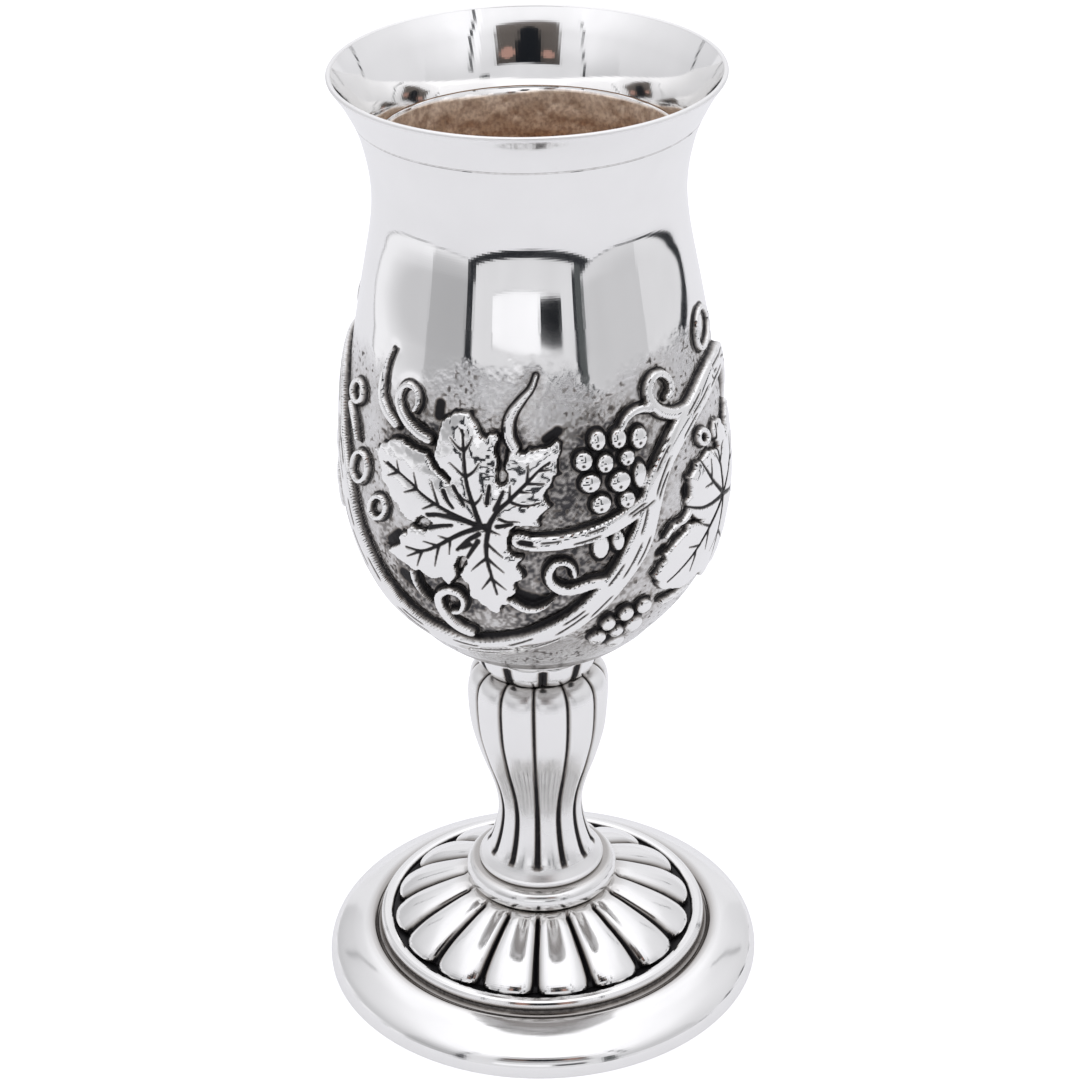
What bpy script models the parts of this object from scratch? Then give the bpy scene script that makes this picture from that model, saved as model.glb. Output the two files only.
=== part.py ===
"""Kiddush cup: a stemmed silver wine cup with a grapevine raised around its bowl.

Five pieces stand on one another: a hollow foot with gadroons, a plain ring, a fluted stem,
a fluted collar and the hollow bowl. Metres, +Z up, origin at the middle of the underside.
Azimuth 0 faces -Y, where the large leaf shows, and grows towards +X.
"""
import bisect
import math

import bmesh
import bpy
from mathutils import Vector

# Clearance where one piece rests on the next
SEAM = 0.0003

# Foot: a rolled edge, a sloping flange, a channel, a bead and a dome of gadroons, open below
FOOT_HEIGHT = 0.0133
FOOT_RADIUS = 0.0323
FOOT_WALL = 0.0011
FOOT_TREAD = 0.0014
EDGE_HEIGHT = 0.0021
FLANGE_HEIGHT = 0.0058
CHANNEL_RADIUS = 0.0250
CHANNEL_DEPTH = 0.0008
BEAD_RADIUS = 0.0235
BEAD_SECTION = 0.0009
BEAD_LIFT = 0.0003
DOME_EDGE_HEIGHT = 0.0064
GADROONS = 16
GADROON_DEPTH = 0.0014
GADROON_PHASE = math.radians(-3.4)
RING_OVERHANG = 0.0006
EDGE_ROUND = 0.0009

# Plain ring between the foot and the stem
RING_HEIGHT = 0.0031
RING_RADIUS = 0.0112
RING_BORE = 0.0050

# Stem: a baluster of round lobes over a plain spreading base
STEM_HEIGHT = 0.0335
STEM_BASE_RADIUS = 0.0094
STEM_NECK_RADIUS = 0.0063
STEM_NECK_HEIGHT = 0.0098
STEM_SWELL_RADIUS = 0.0103
STEM_SWELL_HEIGHT = 0.0290
STEM_LOBES = 12
STEM_GROOVE_DEPTH = 0.0010
STEM_GROOVE_PHASE = math.radians(-4.5)
STEM_PLAIN_HEIGHT = 0.0028

# Collar under the bowl
COLLAR_HEIGHT = 0.0038
COLLAR_TOP_RADIUS = 0.0093
COLLAR_LOBES = 11
COLLAR_GROOVE_DEPTH = 0.0007
COLLAR_PHASE = math.radians(4.2)
COLLAR_STEM_STEP = 0.0012

# Bowl: seat, belly, throat and flared rim, each with its radius and its height above the seat
BOWL_HEIGHT = 0.0851
BOWL_WALL = 0.0009
RIM_RADIUS = 0.0260
THROAT_RADIUS = 0.0209
THROAT_HEIGHT = 0.0707
BELLY_RADIUS = 0.0265
BELLY_HEIGHT = 0.0295
BOWL_SEAT_RADIUS = 0.0090
LIP_THICKNESS = 0.0007

# Raised work on the bowl, the same twice round
REPEATS = 2
LEAF_RELIEF = 0.0010
VINE_RELIEF = 0.0011
VINE_WIDTH = 0.0036
TWIG_WIDTH = 0.0022
TENDRIL_RELIEF = 0.0008
TENDRIL_WIDTH = 0.0012
GRAPE_RADIUS = 0.0014
SMALL_GRAPE_RADIUS = 0.0011
GRAPE_RELIEF = 0.0008
RELIEF_SINK = 0.0005

# Sections across a raised strand: shares of its width and of its relief, below zero under the surface
RIDGE = ((-0.50, -1.0), (-0.36, 0.8), (0.0, 1.0), (0.36, 0.8), (0.50, -1.0))
BEVEL = ((-0.60, -1.0), (0.0, 1.0), (0.60, -1.0))

# Facets of the turned pieces
BOWL_SEGMENTS = 36
RING_SEGMENTS = 24
COLUMNS_PER_LOBE = 3
LINE_STEPS = 6
BOWL_ROW = 0.0070

# Where each piece stands
RING_BASE = FOOT_HEIGHT + SEAM
STEM_BASE = RING_BASE + RING_HEIGHT + SEAM
COLLAR_BASE = STEM_BASE + STEM_HEIGHT + SEAM
BOWL_BASE = COLLAR_BASE + COLLAR_HEIGHT + SEAM

SILVER = (0.86, 0.86, 0.87, 1.0)
SHADED_SILVER = (0.62, 0.61, 0.60, 1.0)


def clear_scene():
    """Remove every object of the file."""
    for thing in list(bpy.data.objects):
        bpy.data.objects.remove(thing, do_unlink=True)


def new_collection(name):
    """A collection linked under the scene's own."""
    group = bpy.data.collections.new(name)
    bpy.context.scene.collection.children.link(group)
    return group


def new_material(name, colour, roughness):
    """A metal with one colour and one roughness."""
    made = bpy.data.materials.new(name)
    made.use_nodes = True
    shader = made.node_tree.nodes["Principled BSDF"]
    shader.inputs["Base Color"].default_value = colour
    shader.inputs["Metallic"].default_value = 1.0
    shader.inputs["Roughness"].default_value = roughness
    made.diffuse_color = colour
    return made


def new_object(name, mesh, group):
    """An object of this mesh in this collection."""
    made = bpy.data.objects.new(name, mesh)
    group.objects.link(made)
    return made


def smooth_line(stations, steps):
    """Points of a smooth line through the stations, each stretch in the given steps (Catmull-Rom)."""
    knots = [Vector(p) for p in stations]
    knots = [2 * knots[0] - knots[1]] + knots + [2 * knots[-1] - knots[-2]]
    points = []
    for i in range(1, len(knots) - 2):
        before, start, end, after = knots[i - 1:i + 3]
        for step in range(steps):
            t = step / steps
            points.append(0.5 * (2 * start + (end - before) * t
                                 + (2 * before - 5 * start + 4 * end - after) * t ** 2
                                 + (3 * start - before - 3 * end + after) * t ** 3))
    points.append(knots[-2])
    return points


def arc(centre, radius, first, last, steps):
    """Points of a circular arc in the profile plane, angles in degrees from +X."""
    return [Vector((centre[0] + radius * math.cos(math.radians(first + (last - first) * k / steps)),
                    centre[1] + radius * math.sin(math.radians(first + (last - first) * k / steps))))
            for k in range(steps + 1)]


def turned(name, profile, segments, group, closed=False):
    """Turn a profile of (radius, height) points, which runs down its outer side, about the Z axis."""
    mesh = bpy.data.meshes.new(name)
    points = [(p[0], 0.0, p[1]) for p in profile]
    edges = [(i, i + 1) for i in range(len(points) - 1)]
    if closed:
        edges.append((len(points) - 1, 0))
    mesh.from_pydata(points, edges, [])
    made = new_object(name, mesh, group)
    screw = made.modifiers.new("Turn", "SCREW")
    screw.steps = segments
    screw.render_steps = segments
    screw.use_merge_vertices = True
    screw.merge_threshold = 0.00001
    return made


def made_solid(made):
    """Replace an object's mesh by what its modifiers give, ready to be shaped point by point."""
    graph = bpy.context.evaluated_depsgraph_get()
    mesh = bpy.data.meshes.new_from_object(made.evaluated_get(graph))
    made.modifiers.clear()
    old = made.data
    made.data = mesh
    bpy.data.meshes.remove(old)


def smooth_shading(made, angle=35):
    """Shade the piece smooth, with its true edges kept sharp."""
    made.data.shade_smooth()
    made.data.set_sharp_from_angle(angle=math.radians(angle))


def azimuth_of(point):
    """Angle of a point about the Z axis, 0 towards -Y and growing towards +X."""
    return math.atan2(point.x, -point.y)


def lobe_dip(angle, lobes, phase):
    """0 on the crest of a lobe and 1 in the groove between two, as a round arc; a groove lies at phase."""
    share = ((angle - phase) * lobes / math.tau) % 1.0
    return (2 * share - 1) ** 2


def turn_to_groove(made, phase):
    """Turn a piece about Z so that its first column of points lies in a groove, at this azimuth."""
    turn = phase - math.pi / 2
    for vertex in made.data.vertices:
        x, y = vertex.co.x, vertex.co.y
        vertex.co.x = x * math.cos(turn) - y * math.sin(turn)
        vertex.co.y = x * math.sin(turn) + y * math.cos(turn)


def foot_outline():
    """Outer line of the foot from the middle of its top down to the tread, and the dome's stretch of it."""
    dome_edge = BEAD_RADIUS - BEAD_SECTION - BEAD_LIFT
    seat = RING_RADIUS - RING_OVERHANG
    drop = FOOT_HEIGHT - DOME_EDGE_HEIGHT
    dome = [Vector((seat + share * (dome_edge - seat), FOOT_HEIGHT - fall * drop))
            for share, fall in ((0.0, 0.0), (0.30, 0.13), (0.68, 0.42), (0.93, 0.75), (1.0, 1.0))]
    bead_height = DOME_EDGE_HEIGHT + BEAD_LIFT
    bead = arc((BEAD_RADIUS, bead_height), BEAD_SECTION, 135, -20, 2)
    channel = [Vector((CHANNEL_RADIUS, FLANGE_HEIGHT - CHANNEL_DEPTH))]
    width = FOOT_RADIUS - CHANNEL_RADIUS
    fall = FLANGE_HEIGHT - EDGE_HEIGHT
    flange = [Vector((CHANNEL_RADIUS + 0.08 * width, FLANGE_HEIGHT)),
              Vector((CHANNEL_RADIUS + 0.60 * width, FLANGE_HEIGHT - 0.32 * fall)),
              Vector((FOOT_RADIUS - 0.8 * EDGE_ROUND, EDGE_HEIGHT + 0.6 * EDGE_ROUND))]
    edge = [Vector((FOOT_RADIUS, 0.4 * EDGE_HEIGHT)), Vector((FOOT_RADIUS - 0.1 * EDGE_ROUND, 0.0))]
    return dome, [Vector((0.0, FOOT_HEIGHT))] + dome + bead + channel + flange + edge


def foot_hollow(dome):
    """Underside line from the tread in and up to the axis, one wall below the grooves of the dome."""
    deep = FOOT_WALL + GADROON_DEPTH
    inner = FOOT_RADIUS - FOOT_TREAD
    under_dome = [Vector((p[0] - 0.4 * deep, p[1] - deep)) for p in (dome[2], dome[0])]
    return ([Vector((inner, 0.0)),
             Vector((inner - 0.6 * EDGE_ROUND, EDGE_HEIGHT)),
             Vector((CHANNEL_RADIUS, FLANGE_HEIGHT - CHANNEL_DEPTH - FOOT_WALL))]
            + under_dome + [Vector((0.0, under_dome[-1][1]))])


def make_foot(group):
    """The foot: the turned shell, its dome pressed into gadroons with a groove between each two."""
    dome, outline = foot_outline()
    profile = outline + foot_hollow(dome)
    made = turned("foot", profile, GADROONS * COLUMNS_PER_LOBE, group)
    made_solid(made)
    turn_to_groove(made, GADROON_PHASE)
    for vertex in made.data.vertices:
        radius = math.hypot(vertex.co.x, vertex.co.y)
        if any(abs(radius - p[0]) < 1e-5 and abs(vertex.co.z - p[1]) < 1e-5 for p in dome[1:-1]):
            dip = GADROON_DEPTH * lobe_dip(azimuth_of(vertex.co), GADROONS, GADROON_PHASE)
            shrink = (radius - 0.3 * dip) / radius
            vertex.co.x *= shrink
            vertex.co.y *= shrink
            vertex.co.z -= 0.9 * dip
    smooth_shading(made)
    return made


def make_ring(group):
    """The plain ring: a half round section turned about a bore."""
    middle = RING_BASE + RING_HEIGHT / 2
    reach = RING_RADIUS - STEM_BASE_RADIUS
    top = Vector((RING_BORE, RING_BASE + RING_HEIGHT))
    bottom = Vector((RING_BORE, RING_BASE))
    side = [Vector((STEM_BASE_RADIUS + reach * math.cos(math.radians(a)),
                    middle + 0.5 * RING_HEIGHT * math.sin(math.radians(a)))) for a in range(90, -91, -36)]
    made = turned("knop_ring", [top] + side + [bottom], RING_SEGMENTS, group, closed=True)
    made_solid(made)
    smooth_shading(made)
    return made


def stem_line():
    """Outer line of the stem's lobes, from under the collar down to the edge of its base."""
    shoulder = STEM_HEIGHT - STEM_SWELL_HEIGHT
    spread = STEM_BASE_RADIUS - STEM_NECK_RADIUS
    rise = STEM_SWELL_HEIGHT - STEM_NECK_HEIGHT
    swell = STEM_SWELL_RADIUS - STEM_NECK_RADIUS
    top_radius = COLLAR_TOP_RADIUS - COLLAR_STEM_STEP
    line = smooth_line([(top_radius, STEM_HEIGHT),
                        (STEM_SWELL_RADIUS - 0.25 * (STEM_SWELL_RADIUS - top_radius),
                         STEM_HEIGHT - 0.35 * shoulder),
                        (STEM_SWELL_RADIUS, STEM_SWELL_HEIGHT),
                        (STEM_NECK_RADIUS + 0.84 * swell, STEM_NECK_HEIGHT + 0.69 * rise),
                        (STEM_NECK_RADIUS + 0.50 * swell, STEM_NECK_HEIGHT + 0.44 * rise),
                        (STEM_NECK_RADIUS + 0.15 * swell, STEM_NECK_HEIGHT + 0.21 * rise),
                        (STEM_NECK_RADIUS, STEM_NECK_HEIGHT),
                        (STEM_NECK_RADIUS + 0.30 * spread, 0.41 * STEM_NECK_HEIGHT),
                        (STEM_NECK_RADIUS + 0.80 * spread, 0.16 * STEM_NECK_HEIGHT)], 1)
    base = [Vector((STEM_BASE_RADIUS, 0.07 * STEM_NECK_HEIGHT)), Vector((STEM_BASE_RADIUS - 0.0003, 0.0))]
    return line + base


def make_stem(group):
    """The stem: turned, then drawn in along the grooves, which end in a round above the plain base."""
    line = [Vector((p[0], p[1] + STEM_BASE)) for p in stem_line()]
    profile = [Vector((0.0, line[0][1]))] + line + [Vector((0.0, STEM_BASE))]
    made = turned("stem", profile, STEM_LOBES * COLUMNS_PER_LOBE, group)
    made_solid(made)
    turn_to_groove(made, STEM_GROOVE_PHASE)
    for vertex in made.data.vertices:
        radius = math.hypot(vertex.co.x, vertex.co.y)
        above_plain = (vertex.co.z - STEM_BASE - STEM_PLAIN_HEIGHT) / (0.4 * STEM_NECK_HEIGHT)
        fade = max(0.0, min(1.0, above_plain))
        if radius > 1e-5:
            dip = STEM_GROOVE_DEPTH * fade * radius / STEM_SWELL_RADIUS
            dip *= lobe_dip(azimuth_of(vertex.co), STEM_LOBES, STEM_GROOVE_PHASE)
            vertex.co.x *= (radius - dip) / radius
            vertex.co.y *= (radius - dip) / radius
    smooth_shading(made)
    return made


def make_collar(group):
    """The collar: a short fluted taper whose lobes round under at their lower ends."""
    low_radius = COLLAR_TOP_RADIUS - COLLAR_STEM_STEP
    top = COLLAR_BASE + COLLAR_HEIGHT
    line = [Vector((COLLAR_TOP_RADIUS, top)),
            Vector((COLLAR_TOP_RADIUS, top - 0.25 * COLLAR_HEIGHT)),
            Vector((low_radius + 0.5 * COLLAR_STEM_STEP, top - 0.60 * COLLAR_HEIGHT)),
            Vector((low_radius + 0.2 * COLLAR_STEM_STEP, top - 0.85 * COLLAR_HEIGHT)),
            Vector((low_radius - 0.4 * COLLAR_STEM_STEP, COLLAR_BASE))]
    profile = [Vector((0.0, top))] + line + [Vector((0.0, COLLAR_BASE))]
    made = turned("collar", profile, COLLAR_LOBES * COLUMNS_PER_LOBE, group)
    made_solid(made)
    turn_to_groove(made, COLLAR_PHASE)
    for vertex in made.data.vertices:
        radius = math.hypot(vertex.co.x, vertex.co.y)
        if radius > 1e-5:
            dip = COLLAR_GROOVE_DEPTH * lobe_dip(azimuth_of(vertex.co), COLLAR_LOBES, COLLAR_PHASE)
            vertex.co.x *= (radius - dip) / radius
            vertex.co.y *= (radius - dip) / radius
    smooth_shading(made)
    return made


def bowl_stations():
    """Outer line of the bowl through its four driving places, from the seat up to the rim."""
    under = BELLY_RADIUS - BOWL_SEAT_RADIUS
    waist = BELLY_RADIUS - THROAT_RADIUS
    rise = THROAT_HEIGHT - BELLY_HEIGHT
    flare = RIM_RADIUS - THROAT_RADIUS
    lip = BOWL_HEIGHT - THROAT_HEIGHT
    return [(BOWL_SEAT_RADIUS, 0.0),
            (BOWL_SEAT_RADIUS + 0.31 * under, 0.10 * BELLY_HEIGHT),
            (BOWL_SEAT_RADIUS + 0.64 * under, 0.29 * BELLY_HEIGHT),
            (BOWL_SEAT_RADIUS + 0.87 * under, 0.50 * BELLY_HEIGHT),
            (BELLY_RADIUS - 0.02 * under, 0.76 * BELLY_HEIGHT),
            (BELLY_RADIUS, BELLY_HEIGHT),
            (BELLY_RADIUS - 0.20 * waist, BELLY_HEIGHT + 0.28 * rise),
            (BELLY_RADIUS - 0.60 * waist, BELLY_HEIGHT + 0.59 * rise),
            (BELLY_RADIUS - 0.95 * waist, BELLY_HEIGHT + 0.85 * rise),
            (THROAT_RADIUS, THROAT_HEIGHT),
            (THROAT_RADIUS + 0.20 * flare, THROAT_HEIGHT + 0.44 * lip),
            (THROAT_RADIUS + 0.52 * flare, THROAT_HEIGHT + 0.74 * lip),
            (RIM_RADIUS, BOWL_HEIGHT)]


class BowlSkin:
    """The bowl's outer surface, unrolled: azimuth one way and the length along its line the other."""

    def __init__(self):
        self.line = smooth_line(bowl_stations(), LINE_STEPS)
        self.lengths = [0.0]
        for start, end in zip(self.line, self.line[1:]):
            self.lengths.append(self.lengths[-1] + (end - start).length)

    def at(self, length):
        """Radius, height above the seat and outward direction at a length along the line."""
        length = max(0.0, min(self.lengths[-1] - 1e-9, length))
        i = bisect.bisect_right(self.lengths, length) - 1
        start, end = self.line[i], self.line[i + 1]
        share = (length - self.lengths[i]) / (self.lengths[i + 1] - self.lengths[i])
        place = start.lerp(end, share)
        along = (end - start).normalized()
        return place, Vector((along.y, -along.x))

    def length_at(self, height):
        """Length along the line where the bowl is this high above its seat."""
        heights = [p.y for p in self.line]
        i = max(1, bisect.bisect_right(heights, height)) - 1
        i = min(i, len(heights) - 2)
        share = (height - heights[i]) / (heights[i + 1] - heights[i])
        return self.lengths[i] + share * (self.lengths[i + 1] - self.lengths[i])

    def point(self, azimuth, length, lift):
        """The point in space at this azimuth and length, this far out from the surface."""
        place, outward = self.at(length)
        radius = place.x + lift * outward.x
        height = place.y + lift * outward.y
        return Vector((radius * math.sin(azimuth), -radius * math.cos(azimuth), BOWL_BASE + height))

    def beside(self, azimuth, length, across, up):
        """Azimuth and length of the point that lies across metres round and up metres along from here."""
        place, _ = self.at(length)
        return azimuth + across / place.x, length + up


def station_rows(skin):
    """Places and outward directions where the bowl's line passes its stations, from seat to rim."""
    return [skin.at(length) for length in skin.lengths[::LINE_STEPS]]


def outer_rows(skin):
    """Places along the bowl's line: its stations, and between them enough that no row is too long."""
    marks = skin.lengths[::LINE_STEPS]
    rows = []
    for start, end in zip(marks, marks[1:]):
        count = math.ceil((end - start) / BOWL_ROW)
        rows += [skin.at(start + (end - start) * k / count)[0] for k in range(count)]
    return rows + [skin.at(marks[-1])[0]]


def make_bowl_wall(skin, group):
    """The plain bowl: its inner line, one wall inside, and its outer line turned as one."""
    wall = [Vector((place.x - BOWL_WALL * out.x, place.y - BOWL_WALL * out.y))
            for place, out in station_rows(skin)[2:-1]]
    outer = outer_rows(skin)
    inner = [Vector((0.0, BOWL_WALL)), Vector((BOWL_SEAT_RADIUS - BOWL_WALL, BOWL_WALL))] + wall
    lip = Vector((RIM_RADIUS - LIP_THICKNESS, BOWL_HEIGHT))
    profile = inner + [lip] + outer[::-1] + [Vector((0.0, 0.0))]
    profile = [Vector((p.x, p.y + BOWL_BASE)) for p in profile]
    made = turned("bowl", profile, BOWL_SEGMENTS, group)
    made_solid(made)
    return made


def add_grid(shape, rows, closed_rows, closed_columns):
    """Faces between rows of points, each row as long as the next."""
    made = [[shape.verts.new(p) for p in row] for row in rows]
    last_row = len(made) if closed_rows else len(made) - 1
    for i in range(last_row):
        low, high = made[i], made[(i + 1) % len(made)]
        last = len(low) if closed_columns else len(low) - 1
        for j in range(last):
            k = (j + 1) % len(low)
            shape.faces.new((low[j], low[k], high[k], high[j]))
    return made


def add_strand(shape, skin, path, width, relief, section, taper=0.35, loop=False):
    """A raised strand along a path of (azimuth, length) places, with this section across it."""
    count = len(path)
    rows = []
    for i, (azimuth, length) in enumerate(path):
        before = path[i - 1] if i > 0 or loop else path[0]
        after = path[(i + 1) % count] if i < count - 1 or loop else path[-1]
        place, _ = skin.at(length)
        turn = (after[0] - before[0]) % math.tau if loop else after[0] - before[0]
        along = Vector((turn * place.x, after[1] - before[1])).normalized()
        slim = 1 - taper * i / (count - 1)
        row = []
        for offset, lift in section:
            shift = offset * width * slim
            spot = skin.beside(azimuth, length, -along.y * shift, along.x * shift)
            row.append(skin.point(spot[0], spot[1], lift * (relief if lift > 0 else RELIEF_SINK)))
        rows.append(row)
    made = add_grid(shape, rows, loop, True)
    if not loop:
        shape.faces.new(list(reversed(made[0])))
        shape.faces.new(made[-1])


def off_lobe(angle, lobe):
    """How far this direction is from the lobe's own, as a share of the lobe's half width."""
    turn = (angle - math.radians(lobe[0]) + math.pi) % math.tau - math.pi
    return abs(turn) / math.radians(lobe[2] if turn > 0 else lobe[3])


def leaf_edge(angle, lobes):
    """Distance from the leaf's middle to its edge this way: broad lobes, narrow bays and teeth."""
    reach = 0.0
    for lobe in lobes:
        share = off_lobe(angle, lobe)
        if share < 1.0:
            reach = max(reach, lobe[1] * (1 - share ** 3) ** 0.5 * (1 - 0.22 * share))
    tooth = (angle * LEAF_TEETH / math.tau) % 1.0
    return max(LEAF_BAY, reach) * (1.0 - 0.09 * abs(2 * tooth - 1))


def add_leaf(shape, skin, azimuth, height, lobes):
    """A vine leaf pressed over the bowl: rings of points out to its edge, low along the midribs."""
    length = skin.length_at(height)
    rings = ((0.05, 0.3), (0.60, 1.0), (1.0, 0.8))
    step = math.tau / LEAF_COLUMNS
    rows = []
    for share, lift in rings + tuple((s, None) for s, _ in reversed(rings)):
        row = []
        for k in range(LEAF_COLUMNS):
            angle = step * k
            reach = share * leaf_edge(angle, lobes)
            on_rib = min(off_lobe(angle, lobe) * math.radians(lobe[2]) for lobe in lobes) < 0.5 * step
            rise = -RELIEF_SINK if lift is None else lift * LEAF_RELIEF * (LEAF_RIB if on_rib else 1.0)
            spot = skin.beside(azimuth, length, reach * math.cos(angle), reach * math.sin(angle))
            row.append(skin.point(spot[0], spot[1], rise))
        rows.append(row)
    made = add_grid(shape, rows, False, True)
    shape.faces.new(made[0])
    shape.faces.new(list(reversed(made[-1])))


def add_grape(shape, skin, azimuth, length, radius):
    """A grape: a ball pressed flat against the bowl."""
    centre = skin.point(azimuth, length, 0.0001)
    outward = (skin.point(azimuth, length, 0.001) - centre).normalized()
    ball = bmesh.ops.create_uvsphere(shape, u_segments=6, v_segments=3, radius=radius)
    turn = outward.to_track_quat("Z", "Y").to_matrix()
    flat = (GRAPE_RELIEF - 0.0001) / radius
    for vertex in ball["verts"]:
        vertex.co.z *= flat
        vertex.co = turn @ vertex.co + centre


# The vine of one repeat: azimuth in degrees and height above the seat in millimetres
VINE_ROUTE = ((-83, 42.5), (-71, 31.5), (-61, 21.8), (-48, 15.2), (-30, 11.6), (-12, 11.9), (7, 15.6),
              (21, 21.3), (31, 28.0), (37, 35.4), (46, 40.5), (60, 44.6), (75, 48.5), (88, 48.5))
TWIG_ROUTE = ((34, 33.0), (22, 30.8), (10, 29.5), (1, 29.3), (-6.5, 30.2))
STALK_ROUTE = ((47, 41.5), (37, 44.6), (29, 45.6), (23, 42.8))
LOW_STALK_ROUTE = ((40, 22.0), (35, 18.5), (29, 15.6))

# Loose tendrils of one repeat, in the same terms
HORN_ROUTE = ((-50.0, 52.6), (-53.5, 48.5), (-53.0, 44.5), (-48.0, 42.6))
WAVE_ROUTE = ((3.5, 52.5), (1.5, 49.0), (-4.5, 47.3), (-7.5, 44.8), (-5.5, 42.3))
LOW_BOW_ROUTE = ((-7.0, 20.6), (-1.0, 19.4), (5.0, 20.8))
SIDE_BOW_ROUTE = ((-39.5, 21.6), (-37.0, 19.0), (-33.0, 16.8))

# Curled tendrils: azimuth and height of the eye, radius in millimetres, first angle and turn in degrees,
# and the share of the radius that a full turn takes away
CURLS = ((-43.0, 47.6, 2.0, -70, 330),
         (43.0, 48.0, 2.4, -75, -420),
         (8.0, 24.6, 2.3, -60, -400),
         (-25.5, 18.6, 2.4, -100, 400),
         (72.0, 54.4, 2.4, -120, 350))
CURL_CLOSING = 0.47
CURL_STEPS = 6

# Leaves: direction in degrees, length in metres and half widths in degrees, left and right, of each lobe
LARGE_LEAF = ((102, 0.0158, 25, 27), (158, 0.0182, 22, 29), (205, 0.0176, 30, 23), (276, 0.0145, 42, 33),
              (46, 0.0158, 26, 48))
LARGE_LEAF_PLACE = (-14.8, 32.0)
SIDE_LEAF = ((95, 0.0118, 27, 29), (150, 0.0135, 26, 27), (210, 0.0140, 32, 32), (280, 0.0125, 40, 36),
             (28, 0.0125, 38, 60))
SIDE_LEAF_PLACE = (68.0, 27.5)
LEAF_BAY = 0.0046
LEAF_RIB = 0.45
LEAF_TEETH = 18
LEAF_COLUMNS = 36

# Grapes: rows of a bunch, first the azimuth and height where the row starts, then how many
BUNCH_ROWS = ((18.7, 43.0, 3), (14.8, 40.2, 3), (17.3, 37.3, 3), (20.0, 34.6, 2))
LOW_BUNCH_ROWS = ((23.5, 12.4, 4), (27.0, 10.6, 3))
GRAPE_PITCH = 0.0030
LOW_BUNCH_RISE = 0.0013


def route_on(skin, route, turn, steps):
    """A smooth path of (azimuth, length) through a route of degrees and millimetres."""
    stations = [(math.radians(azimuth) + turn, skin.length_at(height / 1000)) for azimuth, height in route]
    return [(p.x, p.y) for p in smooth_line(stations, steps)]


def loop_on(skin, route, steps):
    """The closed path all round the bowl through the route and its repeats."""
    turns = [math.tau * repeat / REPEATS for repeat in range(REPEATS)]
    stations = [(math.radians(azimuth) + turn, skin.length_at(height / 1000))
                for turn in turns for azimuth, height in route]
    first, last = stations[0], stations[-1]
    around = [(last[0] - math.tau, last[1])] + stations + [(first[0] + math.tau, first[1])]
    around.append((stations[1][0] + math.tau, stations[1][1]))
    return [(p.x, p.y) for p in smooth_line(around, steps)[steps:-steps - 1]]


def curl_on(skin, curl, turn):
    """The path of a curled tendril: a spiral about its eye."""
    azimuth, height, radius, first, sweep = curl
    length = skin.length_at(height / 1000)
    path = []
    for k in range(CURL_STEPS + 1):
        angle = math.radians(first + sweep * k / CURL_STEPS)
        reach = radius / 1000 * (1.0 - CURL_CLOSING * abs(sweep) / 360 * k / CURL_STEPS)
        path.append(skin.beside(math.radians(azimuth) + turn, length, reach * math.cos(angle),
                                reach * math.sin(angle)))
    return path


def make_relief(skin, group):
    """All the raised work of the bowl, each kind of it an object of its own."""
    kinds = {name: bmesh.new() for name in ("leaves", "vine", "tendrils", "grapes")}
    add_strand(kinds["vine"], skin, loop_on(skin, VINE_ROUTE, 2), VINE_WIDTH, VINE_RELIEF, RIDGE, 0.0, True)
    for repeat in range(REPEATS):
        turn = math.tau * repeat / REPEATS
        for place, lobes in ((LARGE_LEAF_PLACE, LARGE_LEAF), (SIDE_LEAF_PLACE, SIDE_LEAF)):
            add_leaf(kinds["leaves"], skin, math.radians(place[0]) + turn, place[1] / 1000, lobes)
        paths = [(route_on(skin, route, turn, 1), TWIG_WIDTH)
                 for route in (TWIG_ROUTE, STALK_ROUTE, LOW_STALK_ROUTE)]
        paths += [(route_on(skin, route, turn, 2), TENDRIL_WIDTH) for route in (HORN_ROUTE, WAVE_ROUTE)]
        paths += [(route_on(skin, route, turn, 1), TENDRIL_WIDTH)
                  for route in (LOW_BOW_ROUTE, SIDE_BOW_ROUTE)]
        paths += [(curl_on(skin, curl, turn), TENDRIL_WIDTH) for curl in CURLS]
        for path, width in paths:
            add_strand(kinds["tendrils"], skin, path, width, TENDRIL_RELIEF, BEVEL)
        for rows, radius, rise in ((BUNCH_ROWS, GRAPE_RADIUS, 0.0),
                                   (LOW_BUNCH_ROWS, SMALL_GRAPE_RADIUS, LOW_BUNCH_RISE)):
            for azimuth, height, count in rows:
                spot = (math.radians(azimuth) + turn, skin.length_at(height / 1000))
                for _ in range(count):
                    add_grape(kinds["grapes"], skin, spot[0], spot[1], radius)
                    spot = skin.beside(spot[0], spot[1], GRAPE_PITCH * radius / GRAPE_RADIUS, rise)
    made = []
    for name, shape in kinds.items():
        bmesh.ops.recalc_face_normals(shape, faces=shape.faces)
        mesh = bpy.data.meshes.new(name)
        shape.to_mesh(mesh)
        shape.free()
        cutter = new_object(name, mesh, group)
        cutter.hide_render = True
        cutter.display_type = "WIRE"
        made.append(cutter)
    return made


def make_bowl(group, tools):
    """The bowl with its raised vine, leaves and grapes joined to its wall."""
    skin = BowlSkin()
    bowl = make_bowl_wall(skin, group)
    for relief in make_relief(skin, tools):
        join = bowl.modifiers.new("Raised " + relief.name, "BOOLEAN")
        join.operation = "UNION"
        join.solver = "EXACT"
        join.use_self = True
        join.object = relief
    made_solid(bowl)
    smooth_shading(bowl)
    return bowl


def main():
    clear_scene()
    cup = new_collection("kiddush_cup")
    tools = new_collection("relief")
    pieces = (make_foot(cup), make_ring(cup), make_stem(cup), make_collar(cup), make_bowl(cup, tools))
    for piece in pieces:
        colour = SHADED_SILVER if piece.name == "collar" else SILVER
        piece.data.materials.append(new_material(piece.name + "_silver", colour, 0.2))


main()
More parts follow.
